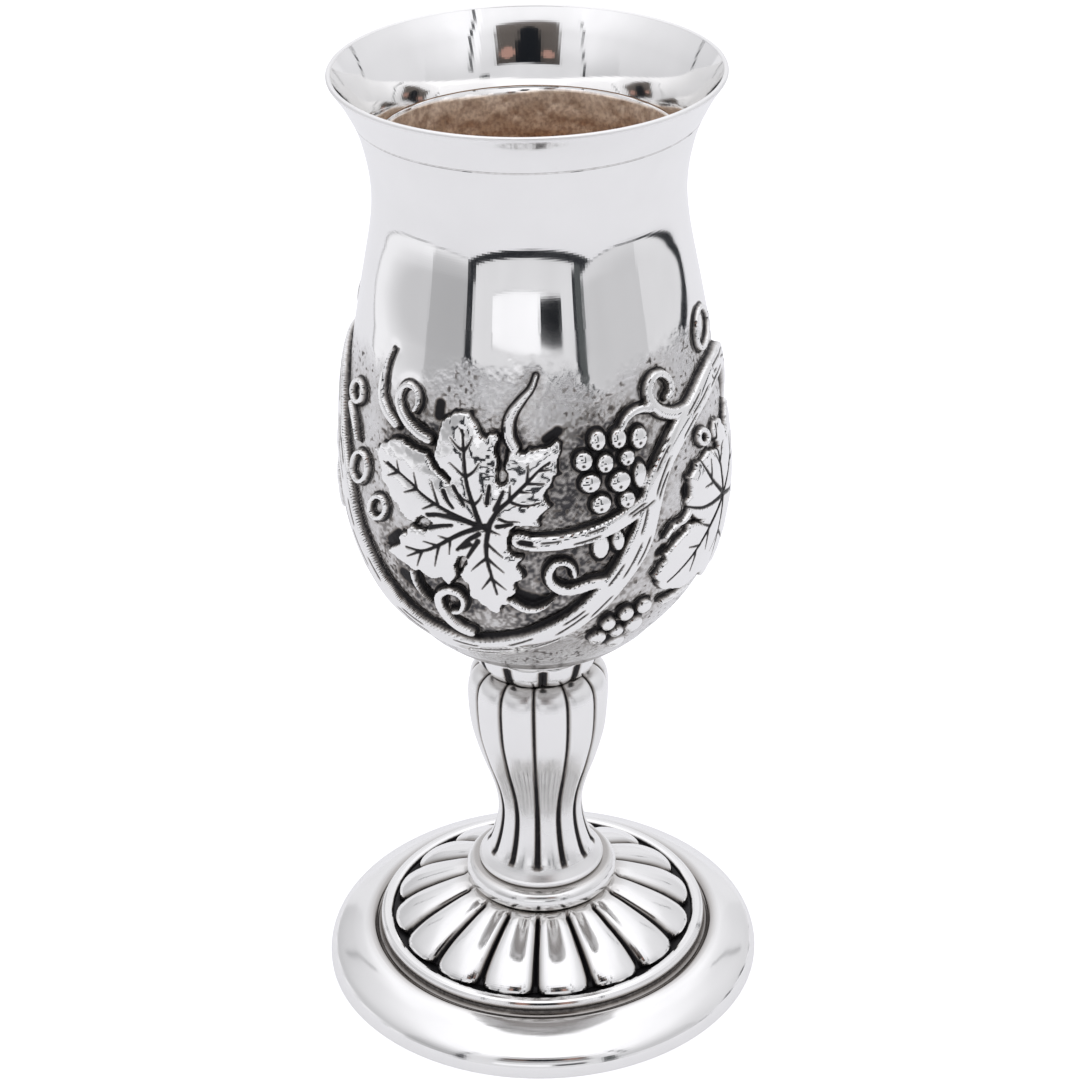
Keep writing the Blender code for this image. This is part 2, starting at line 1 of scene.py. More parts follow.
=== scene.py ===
# %% [markdown]
# # A silver kiddush cup with a grapevine
#
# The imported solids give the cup's sizes. This lesson builds the fine silver surfaces over them:
# a bowl with a vine raised on its wall, a fluted collar and stem, a plain ring and a foot with gadroons.

import math

import bpy
import numpy as np
from mathutils import Matrix, Vector


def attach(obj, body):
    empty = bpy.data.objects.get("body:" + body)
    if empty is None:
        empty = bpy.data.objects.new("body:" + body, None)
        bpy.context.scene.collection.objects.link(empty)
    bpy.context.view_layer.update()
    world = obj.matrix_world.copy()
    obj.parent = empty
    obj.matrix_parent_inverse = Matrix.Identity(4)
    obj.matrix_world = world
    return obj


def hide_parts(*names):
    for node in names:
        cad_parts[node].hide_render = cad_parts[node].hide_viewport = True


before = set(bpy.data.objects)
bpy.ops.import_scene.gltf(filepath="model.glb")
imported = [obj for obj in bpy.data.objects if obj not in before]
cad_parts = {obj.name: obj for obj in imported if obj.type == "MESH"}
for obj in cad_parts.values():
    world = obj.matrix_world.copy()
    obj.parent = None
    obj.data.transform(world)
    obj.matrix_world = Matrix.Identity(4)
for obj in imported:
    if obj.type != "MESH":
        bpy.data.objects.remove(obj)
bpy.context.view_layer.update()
PIECE_SLOTS = {"bowl": "bowl_silver", "collar": "collar_silver", "stem": "stem_silver",
               "knop_ring": "ring_silver", "foot": "foot_silver"}
print("solids:", ", ".join(sorted(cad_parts)))

# %% [markdown]
# ## The camera
#
# The camera looks down at the cup at about 29 degrees. Its place comes first, because the raised work
# is laid out from points read in this view.

# %% Camera
CAMERA_PLACE = np.array([0.0, -0.34314, 0.25935])
CAMERA_YAW = math.radians(0.104)
CAMERA_PITCH = math.radians(28.85)
CAMERA_ROLL = math.radians(-1.0)
VIEW_PIXELS = 1080
VIEW_FOCAL = 2779.5
SENSOR = 36.0


def view_axes():
    """Right, up and forward directions of the camera, rolled about its line of sight."""
    forward = np.array([math.sin(CAMERA_YAW) * math.cos(CAMERA_PITCH),
                        math.cos(CAMERA_YAW) * math.cos(CAMERA_PITCH), -math.sin(CAMERA_PITCH)])
    level = np.cross(forward, (0, 0, 1))
    level /= np.linalg.norm(level)
    upright = np.cross(level, forward)
    right = level * math.cos(CAMERA_ROLL) + upright * math.sin(CAMERA_ROLL)
    up = upright * math.cos(CAMERA_ROLL) - level * math.sin(CAMERA_ROLL)
    return right, up, forward


def in_view(points):
    """Picture point of each point p, taken from the camera, with half the picture h and focal length f.

    x = h + f (p.right) / (p.forward) and y = h - f (p.up) / (p.forward), all in pixels.
    """
    right, up, forward = view_axes()
    offset = points - CAMERA_PLACE
    depth = offset @ forward
    half = VIEW_PIXELS / 2
    return np.stack([half + VIEW_FOCAL * (offset @ right) / depth,
                     half - VIEW_FOCAL * (offset @ up) / depth], -1)


def make_camera():
    """The scene's camera at the measured place."""
    right, up, forward = view_axes()
    data = bpy.data.cameras.new("view")
    data.sensor_width = SENSOR
    data.lens = VIEW_FOCAL * SENSOR / VIEW_PIXELS
    data.clip_start = 0.01
    data.clip_end = 20.0
    camera = bpy.data.objects.new("view", data)
    bpy.context.scene.collection.objects.link(camera)
    axes = np.eye(4)
    axes[:3, 0], axes[:3, 1], axes[:3, 2], axes[:3, 3] = right, up, -forward, CAMERA_PLACE
    camera.matrix_world = Matrix(axes.tolist())
    bpy.context.scene.camera = camera
    return camera


make_camera()

# %% [markdown]
# ## Sizes
#
# Metres. The pieces stand on one another from the foot up, as the solids do. The profiles of the foot, the
# stem and the collar come with their own cells.

# %% Sizes of the cup
MM = 0.001
RING_BASE = 13.6 * MM
RING_HEIGHT = 3.1 * MM
RING_RADIUS = 11.2 * MM
BOWL_BASE = 54.9 * MM
BOWL_HEIGHT = 85.1 * MM
BOWL_TOP = BOWL_BASE + BOWL_HEIGHT
BOWL_WALL = 0.9 * MM
# The smallest ring of points round the axis, which a fan closes
NEAR_AXIS = 0.3 * MM

# Outer line of the bowl: radius and height above its seat
BOWL_LINE = np.array([(9.0, 0.0), (14.43, 2.95), (20.2, 8.56), (24.23, 14.75), (26.15, 22.42), (26.5, 29.5),
                      (25.38, 41.04), (23.14, 53.81), (21.18, 64.52), (20.9, 70.7), (21.92, 77.04),
                      (23.55, 81.36), (26.0, 85.1)]) * MM


def smooth_line(stations, steps):
    """Catmull-Rom line: p = (2b + (c-a)t + (2a-5b+4c-d)t^2 + (3b-a-3c+d)t^3) / 2 on each stretch b to c."""
    stations = np.asarray(stations, float)
    knots = np.vstack([2 * stations[0] - stations[1], stations, 2 * stations[-1] - stations[-2]])
    a, b, c, d = (knots[i:len(knots) - 3 + i, None, :] for i in range(4))
    t = (np.arange(steps) / steps)[None, :, None]
    points = 0.5 * (2 * b + (c - a) * t + (2 * a - 5 * b + 4 * c - d) * t ** 2
                    + (3 * b - a - 3 * c + d) * t ** 3)
    return np.vstack([points.reshape(-1, stations.shape[1]), stations[-1:]])


def line_lengths(line):
    """Length run along a line up to each of its points."""
    return np.concatenate([[0.0], np.cumsum(np.hypot(*np.diff(line, axis=0).T))])


class Skin:
    """A turned outer surface, unrolled: azimuth one way and the length along its line the other."""

    def __init__(self, stations, base):
        self.line = smooth_line(stations, 60) + (0.0, base)
        self.length = line_lengths(self.line)
        along = np.gradient(self.line, self.length, axis=0)
        along /= np.linalg.norm(along, axis=1)[:, None]
        self.outward = np.stack([along[:, 1], -along[:, 0]], -1)

    def at(self, length):
        """Radius, height and the outward direction's two parts at each length."""
        return [np.interp(length, self.length, column) for column in (*self.line.T, *self.outward.T)]

    def length_at(self, height):
        """Length along the line at each height."""
        return np.interp(height, self.line[:, 1], self.length)

    def points(self, azimuth, length, lift):
        """Points in space: the line moved out by lift and turned to each azimuth, 0 towards -Y."""
        radius, height, out_radius, out_height = self.at(length)
        reach = radius + lift * out_radius
        parts = reach * np.sin(azimuth), -reach * np.cos(azimuth), height + lift * out_height
        return np.stack(np.broadcast_arrays(*parts), -1)


bowl = Skin(BOWL_LINE, BOWL_BASE)
print("bowl line:", round(bowl.length[-1] / MM, 1), "mm long")

# %% [markdown]
# ## Reading the vine from the view
#
# Each leaf, tendril and grape is given by picture points of the front. A point is carried back to the
# bowl by solving for the azimuth and length whose place in the view is that point.

# %% From the view to the bowl
# A first guess: the belly's middle and half width in picture points, the middle's height, and the scale
BELLY_X, BELLY_Y, BELLY_HALF, BELLY_DIP = 541, 527, 188, 88
BELLY_HEIGHT = 87 * MM
PIXELS_PER_METRE = 6600
NEWTON_STEPS = 12


def on_bowl(points, lift=0.6 * MM):
    """Azimuth and length of the bowl's place at each picture point.

    Newton steps: with the view's two slopes a (by azimuth) and l (by length) and the miss m,
    azimuth gains (m x l) / (a x l) and length gains (a x m) / (a x l), where x is the flat cross product.
    """
    target = np.asarray(points, float)
    azimuth = np.arcsin(np.clip((target[:, 0] - BELLY_X) / BELLY_HALF, -0.97, 0.97))
    below = target[:, 1] - BELLY_Y + BELLY_DIP * (1 - np.cos(azimuth))
    length = bowl.length_at(BELLY_HEIGHT - below / PIXELS_PER_METRE)
    for _ in range(NEWTON_STEPS):
        here = in_view(bowl.points(azimuth, length, lift))
        by_azimuth = (in_view(bowl.points(azimuth + 1e-4, length, lift)) - here) / 1e-4
        by_length = (in_view(bowl.points(azimuth, length + 1e-5, lift)) - here) / 1e-5
        miss = target - here
        area = by_azimuth[:, 0] * by_length[:, 1] - by_azimuth[:, 1] * by_length[:, 0]
        turn = (miss[:, 0] * by_length[:, 1] - miss[:, 1] * by_length[:, 0]) / area
        climb = (by_azimuth[:, 0] * miss[:, 1] - by_azimuth[:, 1] * miss[:, 0]) / area
        azimuth = azimuth + np.clip(turn, -0.2, 0.2)
        length = length + np.clip(climb, -3 * MM, 3 * MM)
    return np.stack([azimuth, length], -1)


def by_degrees(points):
    """Azimuth and length of places given in degrees and in millimetres above the bowl's seat."""
    points = np.asarray(points, float)
    return np.stack([np.radians(points[:, 0]), bowl.length_at(BOWL_BASE + points[:, 1] * MM)], -1)


# %% [markdown]
# ## The band of raised work, unrolled
#
# The vine repeats after half a turn. Half a turn of the band is a grid, two samples to each step of the
# final mesh. Height, distance to the nearest raised piece and blackening are whole arrays on it.

# %% The grid
BAND_LOW = 60.0 * MM
BAND_HIGH = 112.5 * MM
TURN_STEPS = 900
BAND_ROWS = 320
HALF_STEPS = TURN_STEPS // 2
span = bowl.length_at(np.array([BAND_LOW, BAND_HIGH]))
fine_azimuth = -math.pi / 2 + math.pi * np.arange(2 * HALF_STEPS) / (2 * HALF_STEPS)
fine_length = np.linspace(span[0], span[1], 2 * BAND_ROWS + 1)
fine_radius = bowl.at(fine_length)[0]
column_width = math.pi / (2 * HALF_STEPS)
row_width = (span[1] - span[0]) / (2 * BAND_ROWS)
print("grid:", len(fine_length), "rows,", len(fine_azimuth), "columns")


def smooth(x):
    """0 up to 0, 1 from 1, and 3x^2 - 2x^3 between."""
    x = np.clip(x, 0.0, 1.0)
    return x * x * (3 - 2 * x)


def bell(x):
    """exp(-x^2)."""
    return np.exp(-np.minimum(np.abs(x), 6.0) ** 2)


def windows(places, reach):
    """Parts of the grid within reach of some places, for each half turn in which they show."""
    for turn in (-math.pi, 0.0, math.pi):
        moved = places + (turn, 0.0)
        radius = bowl.at(moved[:, 1])[0].min()
        first = (moved[:, 0].min() - reach / radius - fine_azimuth[0]) / column_width
        last = (moved[:, 0].max() + reach / radius - fine_azimuth[0]) / column_width
        columns = slice(max(0, math.floor(first)), min(len(fine_azimuth), math.ceil(last) + 1))
        low = (moved[:, 1].min() - reach - fine_length[0]) / row_width
        high = (moved[:, 1].max() + reach - fine_length[0]) / row_width
        rows = slice(max(0, math.floor(low)), min(len(fine_length), math.ceil(high) + 1))
        if columns.start < columns.stop and rows.start < rows.stop:
            yield turn, (rows, columns)


def from_place(window, place, turn):
    """Distances across and up from a place to a window's samples: one row and one column of them."""
    across = (fine_azimuth[None, window[1]] - place[0] - turn) * fine_radius[window[0]][:, None]
    return across, (fine_length[window[0]] - place[1])[:, None]


def along_route(route, reach):
    """Near a route: the window and turn, the distance to it, the length run along it, the signed distance
    beside it and its whole length.

    For a stretch from a to b: t = clamp((p-a).(b-a) / |b-a|^2), distance = |p - a - t(b-a)|.
    """
    for turn, (rows, columns) in windows(route, reach):
        moved = route + (turn, 0.0)
        shape = (rows.stop - rows.start, columns.stop - columns.start)
        distance, run, side = np.full(shape, np.inf), np.zeros(shape), np.zeros(shape)
        middle = bowl.at((moved[1:, 1] + moved[:-1, 1]) / 2)[0]
        steps = np.diff(moved, axis=0) * np.stack([middle, np.ones_like(middle)], -1)
        sizes = np.maximum(np.hypot(*steps.T), 1e-9)
        starts = np.concatenate([[0.0], np.cumsum(sizes)])
        for i, (ahead, size) in enumerate(zip(steps, sizes)):
            pair = moved[i:i + 2]
            radius = middle[i]
            c0 = int((pair[:, 0].min() - reach / radius - fine_azimuth[0]) / column_width)
            c1 = int((pair[:, 0].max() + reach / radius - fine_azimuth[0]) / column_width) + 2
            r0 = int((pair[:, 1].min() - reach - fine_length[0]) / row_width)
            r1 = int((pair[:, 1].max() + reach - fine_length[0]) / row_width) + 2
            c0, c1 = max(columns.start, c0), min(columns.stop, c1)
            r0, r1 = max(rows.start, r0), min(rows.stop, r1)
            if c0 >= c1 or r0 >= r1:
                continue
            x = (fine_azimuth[None, c0:c1] - pair[0, 0]) * fine_radius[r0:r1, None]
            y = (fine_length[r0:r1] - pair[0, 1])[:, None]
            share = np.clip((x * ahead[0] + y * ahead[1]) / size ** 2, 0.0, 1.0)
            off = np.hypot(x - share * ahead[0], y - share * ahead[1])
            part = (slice(r0 - rows.start, r1 - rows.start), slice(c0 - columns.start, c1 - columns.start))
            nearer = off < distance[part]
            distance[part] = np.where(nearer, off, distance[part])
            run[part] = np.where(nearer, starts[i] + share * size, run[part])
            side[part] = np.where(nearer, np.sign(ahead[0] * y - ahead[1] * x) * off, side[part])
        yield (rows, columns), turn, distance, run, side, starts[-1]


def inside_outline(outline, window, turn):
    """True inside a closed outline: a level line from the point crosses it an odd number of times."""
    x = fine_azimuth[None, window[1]] - turn
    y = fine_length[window[0]][:, None]
    inside = np.zeros((y.shape[0], x.shape[1]), bool)
    for (x0, y0), (x1, y1) in zip(outline, np.roll(outline, -1, axis=0)):
        if y0 != y1:
            crossing = x0 + (y - y0) * (x1 - x0) / (y1 - y0)
            inside ^= ((y0 > y) != (y1 > y)) & (x < crossing)
    return inside


# %% [markdown]
# ## The drawing of the vine
#
# Picture points of the front, read off: outlines run round a shape, routes run along a strand.

# %% The large leaf
LEAF_OUTLINE = [
    (448, 484), (449, 479), (444, 471), (437, 466), (432, 461), (433, 450), (435, 440), (438, 430),
    (440, 421), (446, 419), (450, 419), (454, 413), (460, 413), (467, 415), (473, 419), (477, 426),
    (480, 433), (485, 440), (490, 436), (496, 435), (499, 441), (497, 450), (496, 460), (496, 470),
    (494, 476), (496, 483), (500, 486), (504, 484), (506, 478), (506, 466), (507, 455), (511, 450),
    (518, 451), (526, 453), (533, 451), (541, 448), (547, 448), (553, 444), (558, 439), (560, 446),
    (560, 455), (557, 461), (558, 469), (559, 476), (555, 480), (552, 484), (550, 490), (546, 497),
    (547, 503), (551, 508), (546, 512), (540, 517), (537, 521), (539, 527), (532, 530), (523, 529),
    (515, 530), (509, 535), (506, 542), (508, 550), (514, 556), (522, 558), (520, 563), (516, 568),
    (520, 573), (524, 580), (519, 584), (516, 587), (516, 594), (514, 598), (509, 599), (507, 605),
    (501, 609), (497, 616), (491, 612), (485, 609), (479, 604), (472, 600), (469, 595), (467, 587),
    (462, 583), (460, 576), (462, 569), (466, 564), (463, 559), (459, 558), (457, 563), (455, 572),
    (453, 580), (448, 586), (444, 582), (441, 577), (436, 580), (430, 580), (424, 577), (418, 572),
    (409, 570), (402, 564), (394, 558), (386, 551), (380, 545), (386, 548), (392, 547), (397, 543),
    (397, 537), (402, 533), (405, 535), (405, 528), (410, 528), (415, 531), (421, 530), (427, 527),
    (431, 524), (425, 520), (421, 518), (417, 520), (413, 523), (408, 522), (403, 516), (398, 512),
    (396, 506), (391, 503), (388, 498), (386, 491), (383, 485), (379, 479), (379, 470), (378, 461),
    (376, 453), (373, 449), (378, 448), (381, 443), (387, 441), (394, 440), (401, 441), (407, 444),
    (412, 449), (419, 449), (426, 453), (430, 459), (431, 466), (436, 473), (442, 479)]
LEAF_RIBS = [
    [(480, 525), (474, 508), (468, 490), (465, 475), (464, 460), (463, 445), (462, 430)],
    [(487, 529), (465, 520), (448, 512), (433, 503), (420, 493), (413, 485), (404, 477), (396, 470),
     (387, 462)],
    [(485, 526), (465, 532), (450, 539), (437, 546), (422, 551), (405, 547)],
    [(489, 526), (486, 545), (487, 560), (491, 575), (497, 595)],
    [(486, 530), (497, 512), (508, 502), (517, 493), (528, 482), (541, 469), (550, 463)]]
LEAF_VEINS = [
    [(465, 478), (457, 470), (449, 462)], [(466, 477), (474, 471), (479, 463)],
    [(464, 452), (456, 445), (450, 437)], [(464, 451), (469, 444), (472, 437)],
    [(463, 435), (459, 428)], [(474, 505), (479, 500), (482, 494)],
    [(472, 504), (465, 500), (460, 496)], [(399, 473), (397, 460)], [(397, 471), (383, 461)],
    [(398, 472), (388, 475)], [(417, 490), (414, 472)], [(416, 489), (404, 492)],
    [(438, 504), (431, 481)], [(434, 504), (422, 509)], [(450, 540), (438, 536)],
    [(438, 546), (423, 541)], [(421, 551), (407, 556)], [(422, 551), (417, 566)],
    [(439, 545), (435, 566)], [(450, 540), (449, 554)], [(487, 558), (480, 563), (472, 570)],
    [(488, 559), (496, 566), (504, 573)], [(487, 544), (495, 551), (503, 558)],
    [(491, 578), (482, 589)], [(492, 579), (506, 590)], [(490, 531), (500, 535)],
    [(527, 484), (528, 465)], [(528, 484), (545, 484)], [(509, 502), (510, 486)],
    [(512, 503), (525, 506), (540, 503)], [(499, 519), (507, 522), (519, 522)],
    [(540, 471), (551, 470)], [(519, 492), (530, 493)]]
LEAF_HATCHES = [
    [(443, 491), (447, 500), (453, 508)], [(453, 487), (459, 497)], [(459, 496), (464, 505)],
    [(487, 503), (489, 486)], [(495, 510), (503, 492)],
    [(427, 515), (440, 515), (460, 520), (476, 526)], [(428, 528), (440, 526), (452, 525)],
    [(479, 534), (468, 540), (457, 550)], [(478, 541), (467, 558)], [(470, 544), (462, 548)],
    [(497, 527), (512, 525)]]

# %% The vine, its twigs and its tendrils
# The vine's own route repeats round the bowl: degrees, and millimetres above the bowl's seat
VINE_ROUTE = [(-85, 41.5), (-72, 31.5), (-61, 21.8), (-48, 15.2), (-30, 11.6), (-12, 11.9), (7, 15.6),
              (21, 21.3), (31, 28.0), (37, 35.4), (46, 40.3), (58, 43.4), (70, 45.2), (83, 45.0)]
VINE_HALF = 1.75 * MM
# A route in picture points, and the strand's half width at its start and its tip in millimetres
TWIGS = [
    ([(519, 542), (531, 545), (548, 545), (565, 543), (582, 539), (600, 533), (620, 523), (640, 509),
     (655, 495)], 1.15, 1.25),
    ([(690, 408), (676, 414), (662, 411), (653, 402), (650, 389), (655, 377), (664, 374), (671, 380),
     (673, 390), (669, 397)], 0.85, 0.5),
    ([(652, 409), (643, 409), (634, 413), (627, 420), (623, 428)], 0.62, 0.5),
    ([(607, 583), (592, 586), (577, 591), (563, 592), (552, 586), (549, 576), (555, 566), (565, 564),
     (573, 569), (575, 577)], 0.85, 0.45),
    ([(470, 634), (459, 629), (447, 619), (439, 607), (438, 597), (446, 592), (457, 595), (463, 603),
     (460, 612), (453, 613)], 0.8, 0.45),
    ([(427, 440), (417, 434), (406, 423), (399, 410), (397, 398), (401, 388), (408, 385), (415, 391),
     (417, 402), (413, 411)], 0.72, 0.4),
    ([(394, 424), (385, 412), (380, 397), (381, 380), (385, 364), (391, 350)], 0.72, 0.25),
    ([(514, 449), (509, 439), (508, 426), (512, 414), (521, 402), (531, 390), (536, 377)], 0.72, 0.25),
    ([(512, 604), (522, 610), (534, 612), (547, 607), (557, 598)], 0.55, 0.2),
    ([(411, 572), (415, 584), (422, 595), (430, 603)], 0.45, 0.2),
    ([(688, 585), (675, 596), (663, 603)], 0.5, 0.4), ([(349, 402), (352, 420), (355, 440)], 0.4, 0.25),
    ([(695, 508), (686, 521), (676, 527), (668, 538)], 0.45, 0.3)]
# Small rings: middle, half width and half height in picture points
RINGS = [
    (357, 467, 7.5, 15), (375, 508, 8, 11), (355, 391, 5.5, 11), (706, 437, 5, 7), (704, 327, 6, 21)]
RING_HALF = 0.42 * MM

# %% The grapes
# Middle, half width and half height in picture points; for a drop also its relief in millimetres
GRAPES = [
    (598, 441, 9, 11), (619, 439, 8.5, 11), (640, 438, 8.5, 12), (584, 462, 10, 10.5), (606, 464, 9, 10.5),
    (628, 458, 8, 9), (591, 484, 11, 10), (621, 482, 11, 11), (602, 505, 10.5, 10), (628, 500, 8.5, 9),
    (645, 607, 6.5, 6), (627, 615, 7, 6), (609, 625, 7, 6), (634, 625, 7, 6), (617, 632, 6, 4.5),
    (598, 639, 8, 5.5), (616, 642, 6, 4.5)]
DROPS = [
    (642, 476, 7, 14, 0.5), (602, 548, 9, 13, 0.5), (619, 541, 6.5, 11, 0.9)]

# %% Hollows and the blackest ground
# Short blackened hollows, with their half width in millimetres
HOLLOWS = [([(440, 404), (438, 416)], 0.7), ([(547, 440), (558, 432)], 0.7), ([(686, 490), (690, 497)], 0.8),
           ([(389, 541), (398, 534)], 0.7), ([(660, 553), (664, 549)], 0.7), ([(512, 596), (540, 604)], 1.3),
           ([(404, 575), (424, 592)], 1.1), ([(430, 596), (438, 600)], 0.9)]
# Places where the whole ground is blackened: picture point, and reach in millimetres
DARK_PLACES = [
    (430, 440, 3.0), (400, 436, 2.2), (508, 446, 2.2), (548, 470, 3.0), (572, 500, 4.0), (606, 462, 5.5),
    (632, 500, 4.0), (560, 570, 5.0), (600, 575, 4.5), (536, 615, 4.5), (492, 640, 3.0), (425, 590, 4.5),
    (395, 545, 2.2), (615, 625, 3.5), (466, 600, 3.5)]

# %% The second leaf
# Its left edge is given in picture points, the rest of it, on the far side, in millimetres from its middle
SIDE_EDGE = [
    (722, 447), (716, 449), (709, 452), (706, 460), (699, 464), (697, 471), (691, 478), (692, 487),
    (694, 497), (690, 504), (692, 512), (695, 518), (701, 520), (706, 519), (704, 524), (697, 523),
    (691, 523), (689, 531), (683, 538), (676, 545), (672, 552), (666, 556), (668, 562), (663, 567),
    (660, 573), (656, 578), (660, 585), (664, 590), (672, 592), (680, 590)]
SIDE_FAR = [
    (-4.2, -10.6), (-1.4, -12.6), (0.8, -11.6), (2.4, -12.4), (4.6, -9.4), (6.4, -8.6), (5.8, -5.4),
    (9.0, -6.4), (11.6, -5.0), (12.0, -2.2), (13.4, -0.6), (11.2, 1.4), (8.4, 1.0), (10.6, 3.6),
    (10.4, 6.4), (12.0, 8.4), (9.0, 9.0), (7.4, 10.6), (5.0, 9.2), (3.6, 6.6), (2.6, 9.0), (1.6, 10.2),
    (-0.2, 10.8), (-1.4, 10.0)]
SIDE_MIDDLE = (69.0, 27.6)
SIDE_RIBS = [
    [(0, 0), (-3.4, 3.6), (-5.6, 7.4)], [(0, 0), (-5.6, 0.6), (-9.4, 2.2)],
    [(0, 0), (-6.2, -4.6), (-12.0, -8.2)], [(0, 0), (-0.6, -5.6), (-0.8, -10.4)],
    [(0, 0), (5.2, -1.6), (10.6, -1.6)], [(0, 0), (5.0, 3.8), (8.6, 7.6)],
    [(0, 0), (-0.4, 5.0), (-0.4, 10.4)]]
SIDE_VEINS = [
    [(-3.0, 3.2), (-5.6, 3.6)], [(-3.6, 4.0), (-3.4, 6.8)], [(-4.0, -3.0), (-6.4, -1.6)],
    [(-6.4, -4.8), (-9.2, -3.8)], [(-4.4, -3.4), (-4.8, -6.2)], [(-7.2, -5.4), (-7.8, -8.2)],
    [(-0.6, -5.0), (-3.0, -7.4)], [(-0.6, -5.4), (1.8, -7.8)], [(4.4, -1.4), (6.6, -4.0)],
    [(5.4, -1.6), (8.0, 0.2)], [(4.0, 3.0), (7.2, 3.2)], [(4.6, 3.6), (4.8, 6.6)],
    [(-0.4, 4.4), (-2.0, 7.0)], [(-0.4, 4.8), (1.4, 7.2)]]


def from_middle(points, middle):
    """Places given across and up, in millimetres, from a middle given in degrees and millimetres."""
    start = by_degrees([middle])[0]
    points = np.asarray(points, float) * MM
    radius = bowl.at(start[1] + points[:, 1])[0]
    return start + np.stack([points[:, 0] / radius, points[:, 1]], -1)


print("large leaf:", np.degrees(np.ptp(on_bowl(LEAF_OUTLINE)[:, 0])).round(), "degrees wide")

# %% [markdown]
# ## Height and blackening of the band
#
# Every raised shape adds to the height with a maximum, every groove takes away from it, and each keeps
# the distance to the nearest raised work, from which the dark sunk ground around it follows.

# %% Noise
def lumps(size, seed, height=len(fine_length), width=len(fine_azimuth)):
    """Smooth noise of about this size in metres: random values between which smooth(t) blends both ways."""
    source = np.random.default_rng(seed)
    across = max(4, round(math.pi * 25 * MM / size))
    up = max(3, round((span[1] - span[0]) / size))
    grid = source.random((up + 2, across))
    u = np.arange(width) * across / width
    v = np.arange(height) * up / height
    iu, iv = u.astype(int), v.astype(int)
    fu, fv = smooth(u - iu)[None, :], smooth(v - iv)[:, None]
    low = grid[iv][:, iu] * (1 - fu) + grid[iv][:, (iu + 1) % across] * fu
    high = grid[iv + 1][:, iu] * (1 - fu) + grid[iv + 1][:, (iu + 1) % across] * fu
    return low * (1 - fv) + high * fv


# %% The arrays that every shape draws on
raised = np.zeros((len(fine_length), len(fine_azimuth)))
clear = np.full_like(raised, 5 * MM)
cut = np.zeros_like(raised)
black = np.zeros_like(raised)
stain = np.zeros_like(raised)
# Width over which a raised edge rises, and how far out the distance to raised work is measured
EDGE = 0.36 * MM
MOAT = 4 * MM
# How far a leaf's edge wanders in and out
TEETH = (lumps(1.05 * MM, 31) - 0.5) * 0.62 * MM + (lumps(0.5 * MM, 32) - 0.5) * 0.24 * MM


def add_raised(window, height, outside):
    """Keep the higher of two shapes, and the smaller distance outside them."""
    raised[window] = np.maximum(raised[window], height)
    clear[window] = np.minimum(clear[window], outside)


def add_groove(route, half, depth, dark=1.0, taper=0.6):
    """A groove along a route: depth exp(-(d/w)^2), with w falling along it by taper."""
    for window, _, distance, run, _, total in along_route(route, 4 * half):
        width = half * (1 - taper * run / total)
        cut[window] = np.maximum(cut[window], depth * bell(distance / width))
        black[window] = np.maximum(black[window], dark * smooth(1.9 - distance / width))


def raise_strand(window, distance, width, relief, power=2.6):
    """Raise a round strand: relief (0.62 + 0.38 sqrt(1 - (d/w)^power)), with a soft edge at d = w."""
    crown = 0.62 + 0.38 * np.sqrt(1 - np.clip(distance / width, 0, 1) ** power)
    add_raised(window, relief * crown * smooth(0.5 + (width - distance) / EDGE), distance - width)


def add_strand(route, half, tip, relief):
    """A strand along a route, whose half width goes from half to tip in its last four fifths."""
    for window, _, distance, run, _, total in along_route(smooth_line(route, 5), half + MOAT):
        width = half + (tip - half) * smooth(run / total * 1.25 - 0.25)
        raise_strand(window, distance, width, relief)


def add_hollow(route, half):
    """A blackened hollow in the ground along a short route."""
    for window, _, distance, _, _, _ in along_route(route, 3 * half):
        stain[window] = np.maximum(stain[window], smooth(1.6 - distance / half))


# %% Leaves
LEAF_RISE = 0.62 * MM
LEAF_CROWN = 0.40 * MM
LEAF_LIFT = 0.8 * MM


def add_leaf(outline, ribs, veins, hatches):
    """A leaf: rise over its outline, a crown of c (1 - exp(-d / 1.6 mm)) inward, ribs and veins cut in.

    Beside a rib the blade also sinks by 0.24 mm exp(-d / 0.9 mm).
    """
    closed = np.vstack([outline, outline[:1]])
    for window, turn, distance, _, _, _ in along_route(closed, MOAT):
        depth = np.where(inside_outline(outline, window, turn), distance, -distance) + TEETH[window]
        crown = LEAF_CROWN * (1 - np.exp(-np.maximum(depth, 0) / (1.6 * MM)))
        add_raised(window, (LEAF_RISE + crown) * smooth(0.5 + depth / EDGE), -depth)
    for rib in ribs:
        fine = smooth_line(rib, 4)
        for window, _, distance, _, _, _ in along_route(fine, 3 * MM):
            cut[window] = np.maximum(cut[window], 0.24 * MM * np.exp(-distance / (0.9 * MM)))
        add_groove(fine, 0.27 * MM, 0.42 * MM)
    for vein in veins:
        add_groove(smooth_line(vein, 3), 0.17 * MM, 0.24 * MM, 0.95)
    for hatch in hatches:
        add_groove(smooth_line(hatch, 3), 0.25 * MM, 0.30 * MM, 1.0, 0.35)


add_leaf(on_bowl(LEAF_OUTLINE, LEAF_LIFT),
         *([on_bowl(line, LEAF_LIFT) for line in lines] for lines in (LEAF_RIBS, LEAF_VEINS, LEAF_HATCHES)))
side_outline = np.vstack([on_bowl(SIDE_EDGE, LEAF_LIFT), from_middle(SIDE_FAR, SIDE_MIDDLE)])
add_leaf(side_outline, [from_middle(rib, SIDE_MIDDLE) for rib in SIDE_RIBS],
         [from_middle(vein, SIDE_MIDDLE) for vein in SIDE_VEINS], [])
print("leaves drawn, highest point", round(raised.max() / MM, 2), "mm")

# %% [markdown]
# ### Vine, twigs, rings and grapes
#
# The vine is one endless strand. Its bark is a few wandering grooves beside its middle that come and go.

